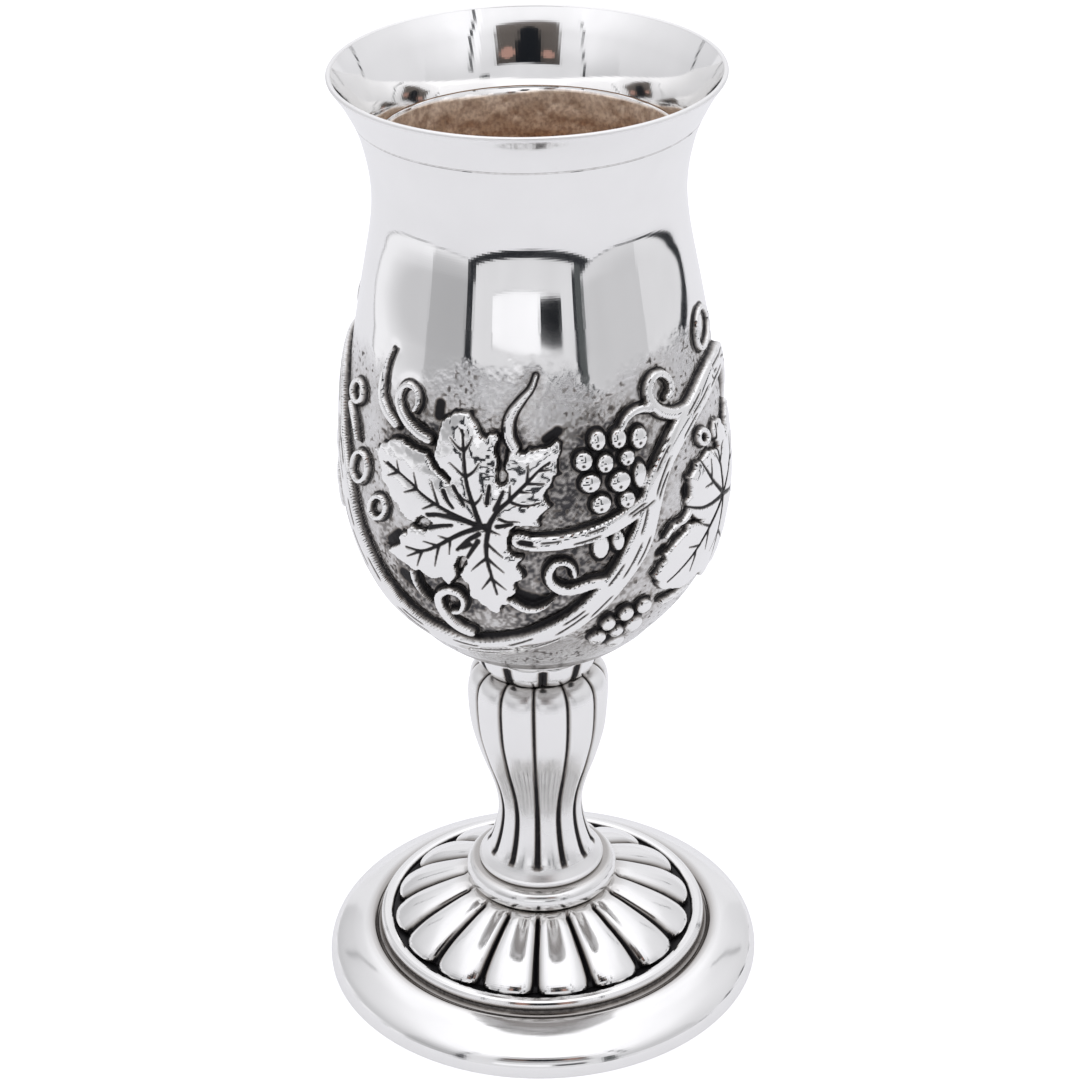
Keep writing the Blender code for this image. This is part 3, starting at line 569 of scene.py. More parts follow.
# %% Strands
VINE_RELIEF = 1.05 * MM
TWIG_RELIEF = 0.82 * MM
TWIG_LIFT = 0.7 * MM
RING_RELIEF = 0.62 * MM
# Lanes of bark: place beside the middle and pitch of its breaks in millimetres, and a phase
BARK_LANES = ((-0.92, 9.1, 0.4), (-0.1, 11.9, 2.3), (0.82, 8.3, 4.4))
TWIG_LANES = ((-0.35, 8.3, 1.2), (0.4, 6.1, 3.6))
BARKED_TWIG_HALF = 1.2 * MM
BARK_DEPTH = 0.16 * MM
BARK_WIDTH = 0.16 * MM


def add_bark(window, distance, run, side, half, lanes):
    """Bark: grooves exp(-((side - lane) / width)^2) that wander with the run and break off by a sine."""
    for lane, pitch, phase in lanes:
        middle = lane * MM + 0.13 * MM * np.sin(run / (2.3 * MM) + phase)
        dash = smooth(0.25 + 1.5 * np.sin(math.tau * run / (pitch * MM) + phase))
        groove = bell((side - middle) / BARK_WIDTH) * dash * smooth((half - distance) / (0.3 * MM))
        cut[window] = np.maximum(cut[window], BARK_DEPTH * groove)
        black[window] = np.maximum(black[window], groove)


vine = by_degrees(VINE_ROUTE)
around = np.vstack([vine[-2:] - (math.pi, 0), vine, vine[:2] + (math.pi, 0)])
for window, _, distance, run, side, total in along_route(smooth_line(around, 8), VINE_HALF + MOAT):
    width = VINE_HALF * (1 + 0.07 * np.sin(run / (4.1 * MM)) + 0.04 * np.sin(run / (1.3 * MM)))
    raise_strand(window, distance, width, VINE_RELIEF)
    add_bark(window, distance, run, side, VINE_HALF, BARK_LANES)
for points, half, tip in TWIGS:
    add_strand(on_bowl(points, TWIG_LIFT), half * MM, tip * MM, TWIG_RELIEF)
twig = smooth_line(on_bowl(TWIGS[0][0], TWIG_LIFT), 5)
for window, _, distance, run, side, total in along_route(twig, 2 * MM):
    add_bark(window, distance, run, side, BARKED_TWIG_HALF, TWIG_LANES)
add_groove(on_bowl([(521, 543), (531, 544)], 0.8 * MM), 0.3 * MM, 0.3 * MM, 1.0, 0.2)
for x, y, wide, high in RINGS:
    turn = np.linspace(0, math.tau, 25)
    loop = on_bowl(np.stack([x + wide * np.cos(turn), y + high * np.sin(turn)], -1), 0.6 * MM)
    for window, _, distance, _, _, _ in along_route(loop, RING_HALF + MOAT):
        raise_strand(window, distance, RING_HALF, RING_RELIEF, 2)

# %% Grapes
GRAPE_RELIEF = 0.88 * MM
# Only grapes wider than this, in picture points, carry a dot
DOTTED_WIDTH = 7.5


def add_grape(x, y, wide, high, relief, dot):
    """A grape: relief (0.35 + 0.65 sqrt(1 - q)) with q = (across/a)^2 + (up/b)^2, and a small dark dot."""
    middle, right, top = on_bowl([(x, y), (x + wide, y), (x, y - high)], 0.5 * MM)
    radius = bowl.at(middle[1])[0]
    half_across, half_up = (right[0] - middle[0]) * radius, top[1] - middle[1]
    for turn, window in windows(middle[None], half_up + MOAT):
        across, up = from_place(window, middle, turn)
        reach = np.hypot(across / half_across, up / half_up)
        outside = (reach - 1) * min(half_across, half_up)
        crown = 0.35 + 0.65 * np.sqrt(1 - np.clip(reach, 0, 1) ** 2)
        add_raised(window, relief * crown * smooth(0.5 - outside / EDGE), outside)
        if dot:
            spot = np.hypot(across + 0.1 * half_across, up + 0.38 * half_up)
            cut[window] = np.maximum(cut[window], 0.16 * MM * bell(spot / (0.19 * MM)))
            black[window] = np.maximum(black[window], smooth(1.6 - spot / (0.2 * MM)))


for x, y, wide, high in GRAPES:
    add_grape(x, y, wide, high, GRAPE_RELIEF, wide > DOTTED_WIDTH)
for x, y, wide, high, relief in DROPS:
    add_grape(x, y, wide, high, relief * MM, False)
for route, half in HOLLOWS:
    add_hollow(on_bowl(route, 0.0), half * MM)
print("strands and grapes drawn")

# %% [markdown]
# ### The matted ground
#
# Below a wavering line the ground is sunk and punched with small pits, and blackened towards the raised
# work. Silver shows through on the tops of the punched lumps.

# %% Ground
MATTED_LINE = [(-98, 51.5), (-82, 50.5), (-66, 51.0), (-44, 48.4), (-22, 53.5), (0, 54.6), (21, 50.4),
               (42, 53.6), (62, 53.4), (82, 51.5), (98, 50.5)]
line_places = by_degrees(MATTED_LINE)
edge_length = np.interp(fine_azimuth, line_places[:, 0], line_places[:, 1])[None, :]
fray = (lumps(2.6 * MM, 11) - 0.5) * 2.4 * MM + (lumps(0.8 * MM, 12) - 0.5) * 1.6 * MM
low_end = smooth((fine_length[:, None] - fine_length[0]) / (2.5 * MM))
high_end = smooth((fine_length[-1] - fine_length[:, None]) / (1.5 * MM))
below = edge_length + fray - fine_length[:, None]
matted = smooth(0.30 + below / (4.2 * MM)) * high_end
sunk = smooth(below / (7 * MM))
pits = lumps(0.50 * MM, 21)
grains = lumps(0.30 * MM, 22)
cover = smooth(0.5 - clear / EDGE)
moat = bell(np.maximum(clear, 0) / (0.75 * MM)) * low_end
ground = -low_end * (0.12 * sunk + matted * (0.045 * pits + 0.045 * grains)) * MM
ground = ground - 0.2 * MM * moat * (0.3 + 0.7 * sunk) - 0.15 * MM * stain
relief = ground * (1 - cover) + raised - cut * cover

# Blackening of the ground: black against raised work and in some places, else light with dark pits
dark = np.zeros_like(clear)
for x, y, reach in DARK_PLACES:
    middle = on_bowl([(x, y)], 0.0)
    for turn, window in windows(middle, 2.4 * reach * MM):
        across, up = from_place(window, middle[0], turn)
        dark[window] = np.maximum(dark[window], bell(np.hypot(across, up) / (1.25 * reach * MM)))
near = np.exp(-np.maximum(clear - 0.3 * MM, 0) / (1.3 * MM))
broad = lumps(4.2 * MM, 23)
speck = smooth((grains * 0.55 + pits * 0.45 - 0.5) * 3.4 + 0.5)
level = 0.01 + 0.16 * broad * (0.4 + dark) + 0.58 * dark + near * (0.26 + 0.6 * dark)
tarnish_and_shade = matted * level * (0.45 + 0.8 * speck)
tarnish_and_shade = np.clip(np.maximum(tarnish_and_shade, stain * 1.1), 0, 1) * (1 - cover)
rim_black = smooth(1.25 - np.abs(clear - 0.12 * MM) / ((0.25 + 0.17 * dark) * MM)) * low_end
pepper = smooth((lumps(0.40 * MM, 24) - 0.68) / 0.12)
pepper = pepper * smooth(1.4 * matted - 0.4) * smooth(1.7 * broad - 0.15)
oxide = np.maximum(rim_black * np.where(clear < 0.12 * MM, 0.8, 1.0), black * cover)
oxide = np.clip(np.maximum(oxide, np.maximum(stain * 0.9, 0.72 * pepper) * (1 - cover)), 0, 1)
print("ground:", round(float(matted.mean()), 2), "matted,", round(float(oxide.mean()), 2), "blackened")


def soften(values):
    """Each sample weighted 1-2-1 with its neighbours both ways, joined round the half turn."""
    wide = (np.roll(values, 1, 1) + 2 * values + np.roll(values, -1, 1)) / 4
    padded = np.vstack([wide[:1], wide, wide[-1:]])
    return (padded[:-2] + 2 * padded[1:-1] + padded[2:]) / 4


def halve(values):
    """Every second sample of the softened grid."""
    return soften(values)[::2, ::2]


band_length = fine_length[::2]
band = {name: np.tile(halve(values), (1, 2))
        for name, values in (("height", soften(relief)), ("oxide", oxide), ("tarnish_and_shade", tarnish_and_shade),
                             ("matted", matted * (1 - cover)))}
print("band:", band["height"].shape, "from", round(band["height"].min() / MM, 2), "to",
      round(band["height"].max() / MM, 2), "mm")

# %% [markdown]
# ## Meshes
#
# A turned piece is a grid of rows and columns. Its ends on the axis are closed by fans, and a profile that
# runs round a bore is joined to itself.

# %% Mesh helpers
def polar(azimuth, radius, height):
    """Points in space from azimuth, radius and height: x = r sin a, y = -r cos a."""
    azimuth, radius, height = np.broadcast_arrays(azimuth, radius, height)
    return np.stack([radius * np.sin(azimuth), -radius * np.cos(azimuth), height], -1)


def make_mesh(name, points, quads, loops, masks, flat=0):
    """A mesh from points, four-sided faces and longer loops; the last faces of number flat stay flat.

    The masks are values from 0 to 1 at each point, kept as attributes for the materials.
    """
    mesh = bpy.data.meshes.new(name)
    faces = quads.tolist() + [list(loop) for loop in loops]
    mesh.from_pydata(points.reshape(-1, 3), [], faces)
    is_flat = np.zeros(len(faces), bool)
    if flat:
        is_flat[-flat:] = True
    sharp = mesh.attributes.new("sharp_face", "BOOLEAN", "FACE")
    sharp.data.foreach_set("value", is_flat)
    for label, values in masks.items():
        layer = mesh.attributes.new(label, "FLOAT", "POINT")
        layer.data.foreach_set("value", values.astype(np.float32).ravel())
    mesh.update()
    made = bpy.data.objects.new(name, mesh)
    bpy.context.scene.collection.objects.link(made)
    return made


def grid_quads(rows, columns, wrap_columns, wrap_rows=False, start=0):
    """Corner numbers of a grid's faces, wound so that rows going up and columns going round face outwards."""
    index = start + np.arange(rows * columns).reshape(rows, columns)
    if wrap_columns:
        index = np.hstack([index, index[:, :1]])
    if wrap_rows:
        index = np.vstack([index, index[:1]])
    return np.stack([index[:-1, :-1], index[:-1, 1:], index[1:, 1:], index[1:, :-1]], -1).reshape(-1, 4)


def lathe(name, azimuth, radius, height, masks, ends=True, creases=()):
    """A turned piece from rows of radius and height; with ends its first and last row close on the axis.

    Along the rows named as creases the shading turns sharply.
    """
    rows, columns = radius.shape
    points = polar(azimuth[None, :], radius, height).reshape(-1, 3)
    quads = grid_quads(rows, columns, True, wrap_rows=not ends)
    fans = []
    if ends:
        low, high = len(points), len(points) + 1
        points = np.vstack([points, [[0, 0, height[0].mean()]], [[0, 0, height[-1].mean()]]])
        first, last = np.arange(columns), np.arange(columns) + (rows - 1) * columns
        fans = ([(low, b, a) for a, b in zip(first, np.roll(first, -1))]
                + [(high, a, b) for a, b in zip(last, np.roll(last, -1))])
        masks = {label: np.concatenate([values.ravel(), values[0, :1], values[-1, :1]])
                 for label, values in masks.items()}
    made = make_mesh(name, points, quads, fans, masks)
    pairs = np.zeros(2 * len(made.data.edges), int)
    made.data.edges.foreach_get("vertices", pairs)
    row_of = np.where(pairs < rows * columns, pairs // columns, -1).reshape(-1, 2)
    crease = (row_of[:, 0] == row_of[:, 1]) & np.isin(row_of[:, 0], np.asarray(creases, int))
    made.data.attributes.new("sharp_edge", "BOOLEAN", "EDGE").data.foreach_set("value", crease)
    print(name + ":", 2 * len(quads) + len(fans), "triangles")
    return made


def profile(stretches):
    """One line of radius and height from named stretches, and the rows that each of them takes."""
    ends = np.cumsum([len(part) for part in stretches.values()]).tolist()
    rows = {label: slice(end - len(part), end) for (label, part), end in zip(stretches.items(), ends)}
    return np.vstack(list(stretches.values())), rows


def turned(line, columns):
    """Radius and height of every point of a line turned round the axis, as two grids."""
    return [np.repeat(line[:, k:k + 1], columns, 1) for k in (0, 1)]


def arc(centre, radius, first, last, steps):
    """Points of an arc: centre + r (cos a, sin a), with a in degrees from first to last."""
    turn = np.radians(np.linspace(first, last, steps + 1))
    return np.stack([centre[0] + radius * np.cos(turn), centre[1] + radius * np.sin(turn)], -1)


def even(line, count):
    """The line again with count points at even distances along it."""
    length = line_lengths(line)
    at = np.linspace(0, length[-1], count)
    return np.stack([np.interp(at, length, column) for column in line.T], -1)


# %% [markdown]
# ### Four plates of vine
#
# The band is cut into four curved plates. Each is closed: a finely modelled outer face, and a coarse back
# and four narrow sides inside the bowl's wall, all flat.

# %% Vine plates
PLATE_NAMES = ["bowl_vine_front_left", "bowl_vine_front_right", "bowl_vine_back_right", "bowl_vine_back_left"]
PLATE_COLUMNS = TURN_STEPS // 4
PLATE_BACK = 0.56 * MM
# Fine steps to one coarse step of the back
BACK_COLUMNS = 25
BACK_ROWS = 32
# Azimuth of the cut between the two front plates, where it hides beside the leaf
FIRST_CUT = 12


def side_loops(fine, coarse, step, outwards):
    """Faces that close a fine border to a coarse one: one coarse edge and a stretch of fine edges each."""
    loops = []
    for k in range(len(coarse) - 1):
        loop = list(fine[k * step:(k + 1) * step + 1]) + [coarse[k + 1], coarse[k]]
        loops.append(loop if outwards else loop[::-1])
    return loops


def make_plate(name, first):
    """One plate of the band from its first column, with its outer face bent round the bowl's line."""
    columns = (first + np.arange(PLATE_COLUMNS + 1)) % TURN_STEPS
    azimuth = -math.pi / 2 + math.tau * (first + np.arange(PLATE_COLUMNS + 1)) / TURN_STEPS
    outer = bowl.points(azimuth[None, :], band_length[:, None], band["height"][:, columns])
    back_rows = np.arange(0, BAND_ROWS + 1, BACK_ROWS)
    back_columns = np.arange(0, PLATE_COLUMNS + 1, BACK_COLUMNS)
    back = bowl.points(azimuth[back_columns][None, :], band_length[back_rows][:, None], -PLATE_BACK)
    front_index = np.arange(outer.shape[0] * outer.shape[1]).reshape(outer.shape[:2])
    back_start = front_index.size
    back_index = back_start + np.arange(back.shape[0] * back.shape[1]).reshape(back.shape[:2])
    points = np.vstack([outer.reshape(-1, 3), back.reshape(-1, 3)])
    quads = grid_quads(*outer.shape[:2], False)
    inner = grid_quads(*back.shape[:2], False, start=back_start)[:, ::-1]
    loops = (inner.tolist()
             + side_loops(front_index[0], back_index[0], BACK_COLUMNS, False)
             + side_loops(front_index[-1], back_index[-1], BACK_COLUMNS, True)
             + side_loops(front_index[:, 0], back_index[:, 0], BACK_ROWS, True)
             + side_loops(front_index[:, -1], back_index[:, -1], BACK_ROWS, False))
    masks = {label: np.concatenate([band[label][:, columns].ravel(), np.zeros(back_index.size)])
             for label in ("oxide", "tarnish_and_shade", "matted")}
    made = make_mesh(name, points, quads, loops, masks, flat=len(loops))
    print(name + ":", sum(len(p.vertices) - 2 for p in made.data.polygons), "triangles")
    return made


first_column = round((FIRST_CUT + 90) / 360 * TURN_STEPS)
plates = [make_plate(name, first_column + PLATE_COLUMNS * turn)
          for name, turn in zip(PLATE_NAMES, (3, 0, 1, 2))]

# %% [markdown]
# ### The bowl's wall, lip, throat and lining
#
# Under the plates the outer face steps in. Above them it carries one thin engraved line.

# %% The wall's line
WALL_COLUMNS = 360
LINE_HEIGHT = 134.2 * MM
INNER_LINE_HEIGHT = 130.0 * MM
LIP_THICKNESS = 0.7 * MM
STEP_IN = 0.62 * MM
# The engraved line: height beside its middle, and depth, in millimetres. Inside it is shallower
LINE_GROOVE = [(-0.16, 0.0), (-0.07, 0.05), (0.0, 0.08), (0.07, 0.05), (0.16, 0.0)]
LINE_HALF = 0.2 * MM
INNER_LINE_SHARE = 0.3


def flared(line):
    """The bowl's line drawn out a little below the lip, so that the round lip keeps the full radius."""
    half = LIP_THICKNESS / 2
    out = bowl.outward[-1]
    end = (bowl.line[-1, 0] - half * (1 - out[0]), BOWL_TOP - half * (1 - out[1]))
    short = end[0] - np.interp(end[1], bowl.line[:, 1], bowl.line[:, 0])
    share = smooth((line[:, 1] - BOWL_TOP + 15 * MM) / (14.4 * MM))
    fuller = 0.14 * MM * bell((line[:, 1] - BOWL_TOP + 4.2 * MM) / (2.6 * MM))
    return line + np.stack([short * share + fuller, 0 * share], -1), end


def between(line, low, high):
    """The stretch of a rising line between two heights, with its ends put in."""
    heights = np.concatenate([[low], line[(line[:, 1] > low) & (line[:, 1] < high), 1], [high]])
    return np.stack([np.interp(heights, line[:, 1], line[:, 0]), heights], -1)


def engraved(line, height, depth):
    """Five points of an engraved line at a height: the wall's radius less the groove's depth."""
    groove = np.array(LINE_GROOVE) * MM
    at = height + groove[:, 0]
    return np.stack([np.interp(at, line[:, 1], line[:, 0]) - depth * groove[:, 1], at], -1)


def wall_stretches():
    """The wall's stretches, from the middle of the inside up, round the lip, and down the outside."""
    outer, lip_end = flared(bowl.line)
    out = bowl.outward[-1]
    angle = math.degrees(math.atan2(out[1], out[0]))
    lip = arc(np.array(lip_end) - LIP_THICKNESS / 2 * out, LIP_THICKNESS / 2, angle + 180, angle, 10)
    wall = np.interp(outer[:, 1], (BOWL_TOP - 12 * MM, BOWL_TOP), (BOWL_WALL, LIP_THICKNESS))[:, None]
    inner = (outer - wall * bowl.outward)[bowl.line[:, 1] > BOWL_BASE + 2.5 * MM]
    floor = [(NEAR_AXIS, inner[0, 1] - 1.5 * MM), (6.5 * MM, inner[0, 1] - 1.2 * MM), inner[0]]
    ring = INNER_LINE_HEIGHT
    seat = BOWL_BASE - 0.22 * MM
    return {
        "floor": smooth_line(floor, 12)[:-1],
        "inside": even(between(inner, inner[0, 1], ring - 6 * MM), 26),
        "inside_high": even(between(inner, ring - 6 * MM, ring - LINE_HALF), 27)[1:],
        "inside_line": engraved(inner, ring, -INNER_LINE_SHARE),
        "throat": even(between(inner, ring + LINE_HALF, lip[0, 1] - 0.05 * MM), 40),
        "lip": lip,
        "outside_high": even(between(outer, LINE_HEIGHT + LINE_HALF, lip[-1, 1] - 0.05 * MM)[::-1], 22),
        "outside_line": engraved(outer, LINE_HEIGHT, 1)[::-1],
        "outside": even(between(outer, BAND_HIGH, LINE_HEIGHT - LINE_HALF)[::-1], 70),
        "under_plates": even(between(outer - STEP_IN * bowl.outward, BAND_LOW, BAND_HIGH)[::-1], 12),
        "below": even(between(outer, BOWL_BASE, BAND_LOW)[::-1], 16),
        "seat": [(bowl.line[0, 0] - 0.3 * MM, seat), (NEAR_AXIS, seat)]}


# %% Bowl wall
def make_wall():
    """The bowl in one turned piece, a trace out of round above the plates, as hand work is."""
    line, rows = profile(wall_stretches())
    azimuth = math.pi / 2 - math.tau * np.arange(WALL_COLUMNS) / WALL_COLUMNS
    radius, height = turned(line, WALL_COLUMNS)
    above = smooth((height - BAND_HIGH - 2 * MM) / (8 * MM)) * smooth((BOWL_TOP - height) / (6 * MM))
    ripple = np.sin(5 * azimuth + 0.7) + 0.6 * np.sin(8 * azimuth + height / (4 * MM))
    radius = radius + 0.035 * MM * above * ripple
    wave = 0.45 * MM * np.sin(3 * azimuth + 0.8) + 0.3 * MM * np.sin(7 * azimuth)
    masks = {label: np.zeros_like(radius) for label in ("lining", "oxide", "matted", "tarnish_and_shade", "satin")}
    inside = slice(0, rows["throat"].stop)
    masks["lining"][inside] = smooth(
        (INNER_LINE_HEIGHT - 0.3 * MM + 0.5 * wave - height[inside]) / (0.5 * MM))
    masks["oxide"][rows["inside_line"]] = 0.12
    masks["oxide"][rows["outside_line"]] = 0.25
    masks["matted"][rows["below"]] = smooth((height[rows["below"]] - BOWL_BASE - 0.7 * MM) / (0.3 * MM))
    masks["satin"][rows["lip"]] = 1.0
    # Tarnish on the matted ground below the band, and painted shade on the top stretch of the lining
    masks["tarnish_and_shade"] = 0.5 * masks["matted"] + 0.2 * masks["lining"] * smooth(
        (height - INNER_LINE_HEIGHT + 7 * MM) / (6 * MM))
    creases = [row for label in ("outside", "under_plates", "below")
               for row in (rows[label].stop - 1, rows[label].stop)]
    return lathe("bowl_wall", azimuth, radius, height, masks, creases=creases)


wall = make_wall()

# %% [markdown]
# ### The foot
#
# From the middle of its top the foot runs out over the gadroons, a bead, a channel and a sloping flange,
# round its edge and back under, one wall below. A gadroon is a round lobe that ends in a round; the groove
# between two is narrow, and black at its floor.

# %% Lobes
def lobe_share(azimuth, lobes, phase):
    """How far across a lobe an azimuth is: -1 and 1 in the grooves at its sides, 0 on its crest."""
    return 2 * (((azimuth - phase) * lobes / math.tau) % 1.0) - 1


# %% Foot
GADROONS = 16
GADROON_PHASE = math.radians(-3.4)
GADROON_DEPTH = 1.5 * MM
FOOT_COLUMNS = 480
FOOT_TOP = 13.3 * MM
DOME = np.array([(10.6, 13.3), (11.6, 13.25), (14.1, 12.4), (18.55, 10.4), (21.5, 8.35), (22.4, 7.2),
                 (22.48, 6.5)])
BEAD_MIDDLE = (23.45 * MM, 6.55 * MM)
BEAD_HALF = 1.0 * MM
CHANNEL_RADIUS = 24.45 * MM
FLANGE = np.array([(24.45, 5.65), (24.85, 5.35), (25.7, 5.72), (27.0, 5.38), (28.3, 4.86), (29.5, 4.25),
                   (30.5, 3.68), (31.2, 3.2), (31.65, 2.75), (31.98, 2.2), (32.2, 1.55), (32.3, 0.95)])


def foot_stretches():
    """The foot's stretches, from the middle of its top out to the edge and back below."""
    under = np.array([(31.0, 0.0), (30.85, 0.1), (30.3, 1.9), (25.0, 3.9), (19.6, 7.3), (12.0, 10.6),
                      (9.6, 10.8), (NEAR_AXIS / MM, 10.8)]) * MM
    return {
        "middle": [(NEAR_AXIS, FOOT_TOP), (9.9 * MM, FOOT_TOP)],
        "dome": even(smooth_line(DOME * MM, 12), 46),
        "bead": arc(BEAD_MIDDLE, BEAD_HALF, 165, -30, 10),
        "flange": even(smooth_line(FLANGE * MM, 12), 42),
        "edge": np.array([(32.3, 0.6), (32.27, 0.25), (32.1, 0.03), (31.9, 0.0)]) * MM,
        "under": np.vstack([even(under[:3], 5), even(under[2:], 20)[1:]])}


def make_foot():
    """The foot turned from its profile, its dome pressed into lobes by depth (1 - sqrt(1 - across^2.3))."""
    stretches = foot_stretches()
    line, rows = profile(stretches)
    dome, flange = stretches["dome"], stretches["flange"]
    azimuth = GADROON_PHASE + math.pi / GADROONS - math.tau * np.arange(FOOT_COLUMNS) / FOOT_COLUMNS
    share = lobe_share(azimuth, GADROONS, GADROON_PHASE)[None, :]
    radius, height = turned(line, FOOT_COLUMNS)
    run = line_lengths(dome)
    along = (run / run[-1])[:, None]
    wide = 0.955 * (1 - 0.16 * np.clip((along - 0.75) / 0.22, 0, 1) ** 2.4)
    across = np.clip(np.abs(share) / wide, 0, 1)
    crest = np.sqrt(1 - across ** 2.3)
    deeper = 0.55 + 0.45 * np.clip(dome[:, :1] / (20 * MM), 0, 1)
    dip = GADROON_DEPTH * (1 - crest) * smooth(along / 0.10) * deeper
    dip = np.maximum(dip, 0.9 * GADROON_DEPTH * smooth((along - 0.95 + 0.05 * across ** 2) / 0.05))
    slope = np.gradient(dome, run, axis=0)
    slope /= np.linalg.norm(slope, axis=1)[:, None]
    outward = np.stack([-slope[:, 1], slope[:, 0]], -1)
    radius[rows["dome"]] -= dip * outward[:, :1]
    height[rows["dome"]] -= dip * outward[:, 1:]

    # Black oxide in the grooves, at the lobes' ends, along the bead's foot and in the channel. Darker beside
    # the grooves, on the bead's outer side and on the flange by the channel, and painted shade on the lobes'
    # inner ends under the ring
    oxide, tarnish_and_shade = np.zeros_like(radius), np.zeros_like(radius)
    half = (0.26 + 0.36 * along ** 1.6) * MM
    floor = smooth((across - 1 + half * GADROONS / (math.pi * dome[:, :1])) / 0.08)
    floor = floor * smooth(along / 0.06 - 0.2)
    oxide[rows["dome"]] = np.clip(floor + smooth((along - 0.972 + 0.05 * across ** 2) / 0.03), 0, 1)
    bead_first, bead_stop = rows["bead"].start, rows["bead"].stop
    oxide[bead_first:bead_first + 2] = 1.0
    oxide[bead_stop - 2:bead_stop] = 0.7
    oxide[rows["flange"]] = 0.6 * smooth(1 - (flange[:, :1] - CHANNEL_RADIUS) / (0.35 * MM))
    # Painted shade on the lobes' inner ends, under the ring
    tarnish_and_shade[rows["dome"]] = np.maximum(0.55 * smooth((across - 0.72) / 0.25), 0.30 * smooth(1 - along / 0.22))
    tarnish_and_shade[rows["flange"]] = 0.52 * smooth(1.15 - (flange[:, :1] - CHANNEL_RADIUS - 0.15 * MM) / (2.1 * MM))
    tarnish_and_shade[rows["bead"]] = 0.3 * (np.linspace(0, 1, bead_stop - bead_first) > 0.75)[:, None]
    return lathe("foot_gadroons", azimuth, radius, height, {"oxide": oxide, "tarnish_and_shade": tarnish_and_shade})


foot = make_foot()

# %% [markdown]
# ### The ring, the stem and the collar
#
# The ring is plain. The stem's twelve lobes run its whole length and end in rounds over its base. The
# collar's eleven lobes are short and round under at their lower ends.

# %% Ring
RING_SECTION_RADIUS = 9.4 * MM
RING_BORE = 5.0 * MM
# How far the ring reaches into the stem and the foot, less at the top
RING_SINK_LOW = 0.24 * MM
RING_SINK_HIGH = 0.04 * MM
RING_COLUMNS = 180


def make_ring():
    """The ring: a half round section joined to itself through the bore."""
    middle = RING_BASE + RING_HEIGHT / 2 - (RING_SINK_LOW - RING_SINK_HIGH) / 2
    half = RING_HEIGHT / 2 + (RING_SINK_LOW + RING_SINK_HIGH) / 2
    turn = np.radians(np.linspace(-90, 90, 33))
    side = np.stack([RING_SECTION_RADIUS + (RING_RADIUS - RING_SECTION_RADIUS) * np.cos(turn) ** 0.8,
                     middle + half * np.sin(turn)], -1)
    bore = np.array([(RING_BORE, middle + half), (RING_BORE, middle - half)])
    line = np.vstack([side, bore])
    azimuth = math.tau * np.arange(RING_COLUMNS) / RING_COLUMNS
    radius, height = turned(line, RING_COLUMNS)
    # Painted shade along the ring's top and bottom, where it meets the stem and the foot
    dark = smooth((np.abs(height - middle) - 0.80 * half) / (0.2 * half))
    return lathe("knop_ring_round", azimuth, radius, height, {"tarnish_and_shade": 0.4 * dark}, ends=False)


ring = make_ring()

# %% Stem
STEM_LOBES = 12
STEM_PHASE = math.radians(-4.5)
STEM_GROOVE = 1.05 * MM
STEM_COLUMNS = 300
STEM_TOP = 50.5 * MM
STEM_END = 16.8 * MM
STEM_STATIONS = np.array([(7.9, 50.5), (8.7, 50.15), (9.45, 49.5), (9.95, 48.7), (10.2, 47.7), (10.3, 46.2),
                          (10.2, 43.4), (9.87, 40.6), (9.2, 37.8), (8.37, 35.0), (7.4, 32.2), (6.62, 29.4),
                          (6.26, 26.6), (6.5, 23.8), (7.2, 21.0), (8.1, 18.85), (8.95, 17.6)])


def fluted(stretches, first, columns, lobes, phase, depth, dark, groove):
    """A piece turned from its stretches, with grooves drawn in on the rows from first.

    Radius less depth (1 - sqrt(1 - (0.985 across)^2.2)), black over the groove's width, darker beside it.
    """
    line = np.vstack(stretches)
    azimuth = phase + math.pi / lobes - math.tau * np.arange(columns) / columns
    across = np.abs(lobe_share(azimuth, lobes, phase))[None, :]
    radius, height = turned(line, columns)
    rows = slice(first, first + len(depth))
    crest = np.sqrt(np.clip(1 - (across * 0.985) ** 2.2, 0, 1))
    radius[rows] -= depth[:, None] * (1 - crest)
    oxide, tarnish_and_shade = np.zeros_like(radius), np.zeros_like(radius)
    start = 1 - groove * lobes / (math.tau * line[rows, :1])
    oxide[rows] = dark[:, None] * smooth((across - start) / 0.08)
    tarnish_and_shade[rows] = 0.7 * dark[:, None] * smooth((across - start + 0.10) / 0.16)
    return azimuth, radius, height, oxide, tarnish_and_shade


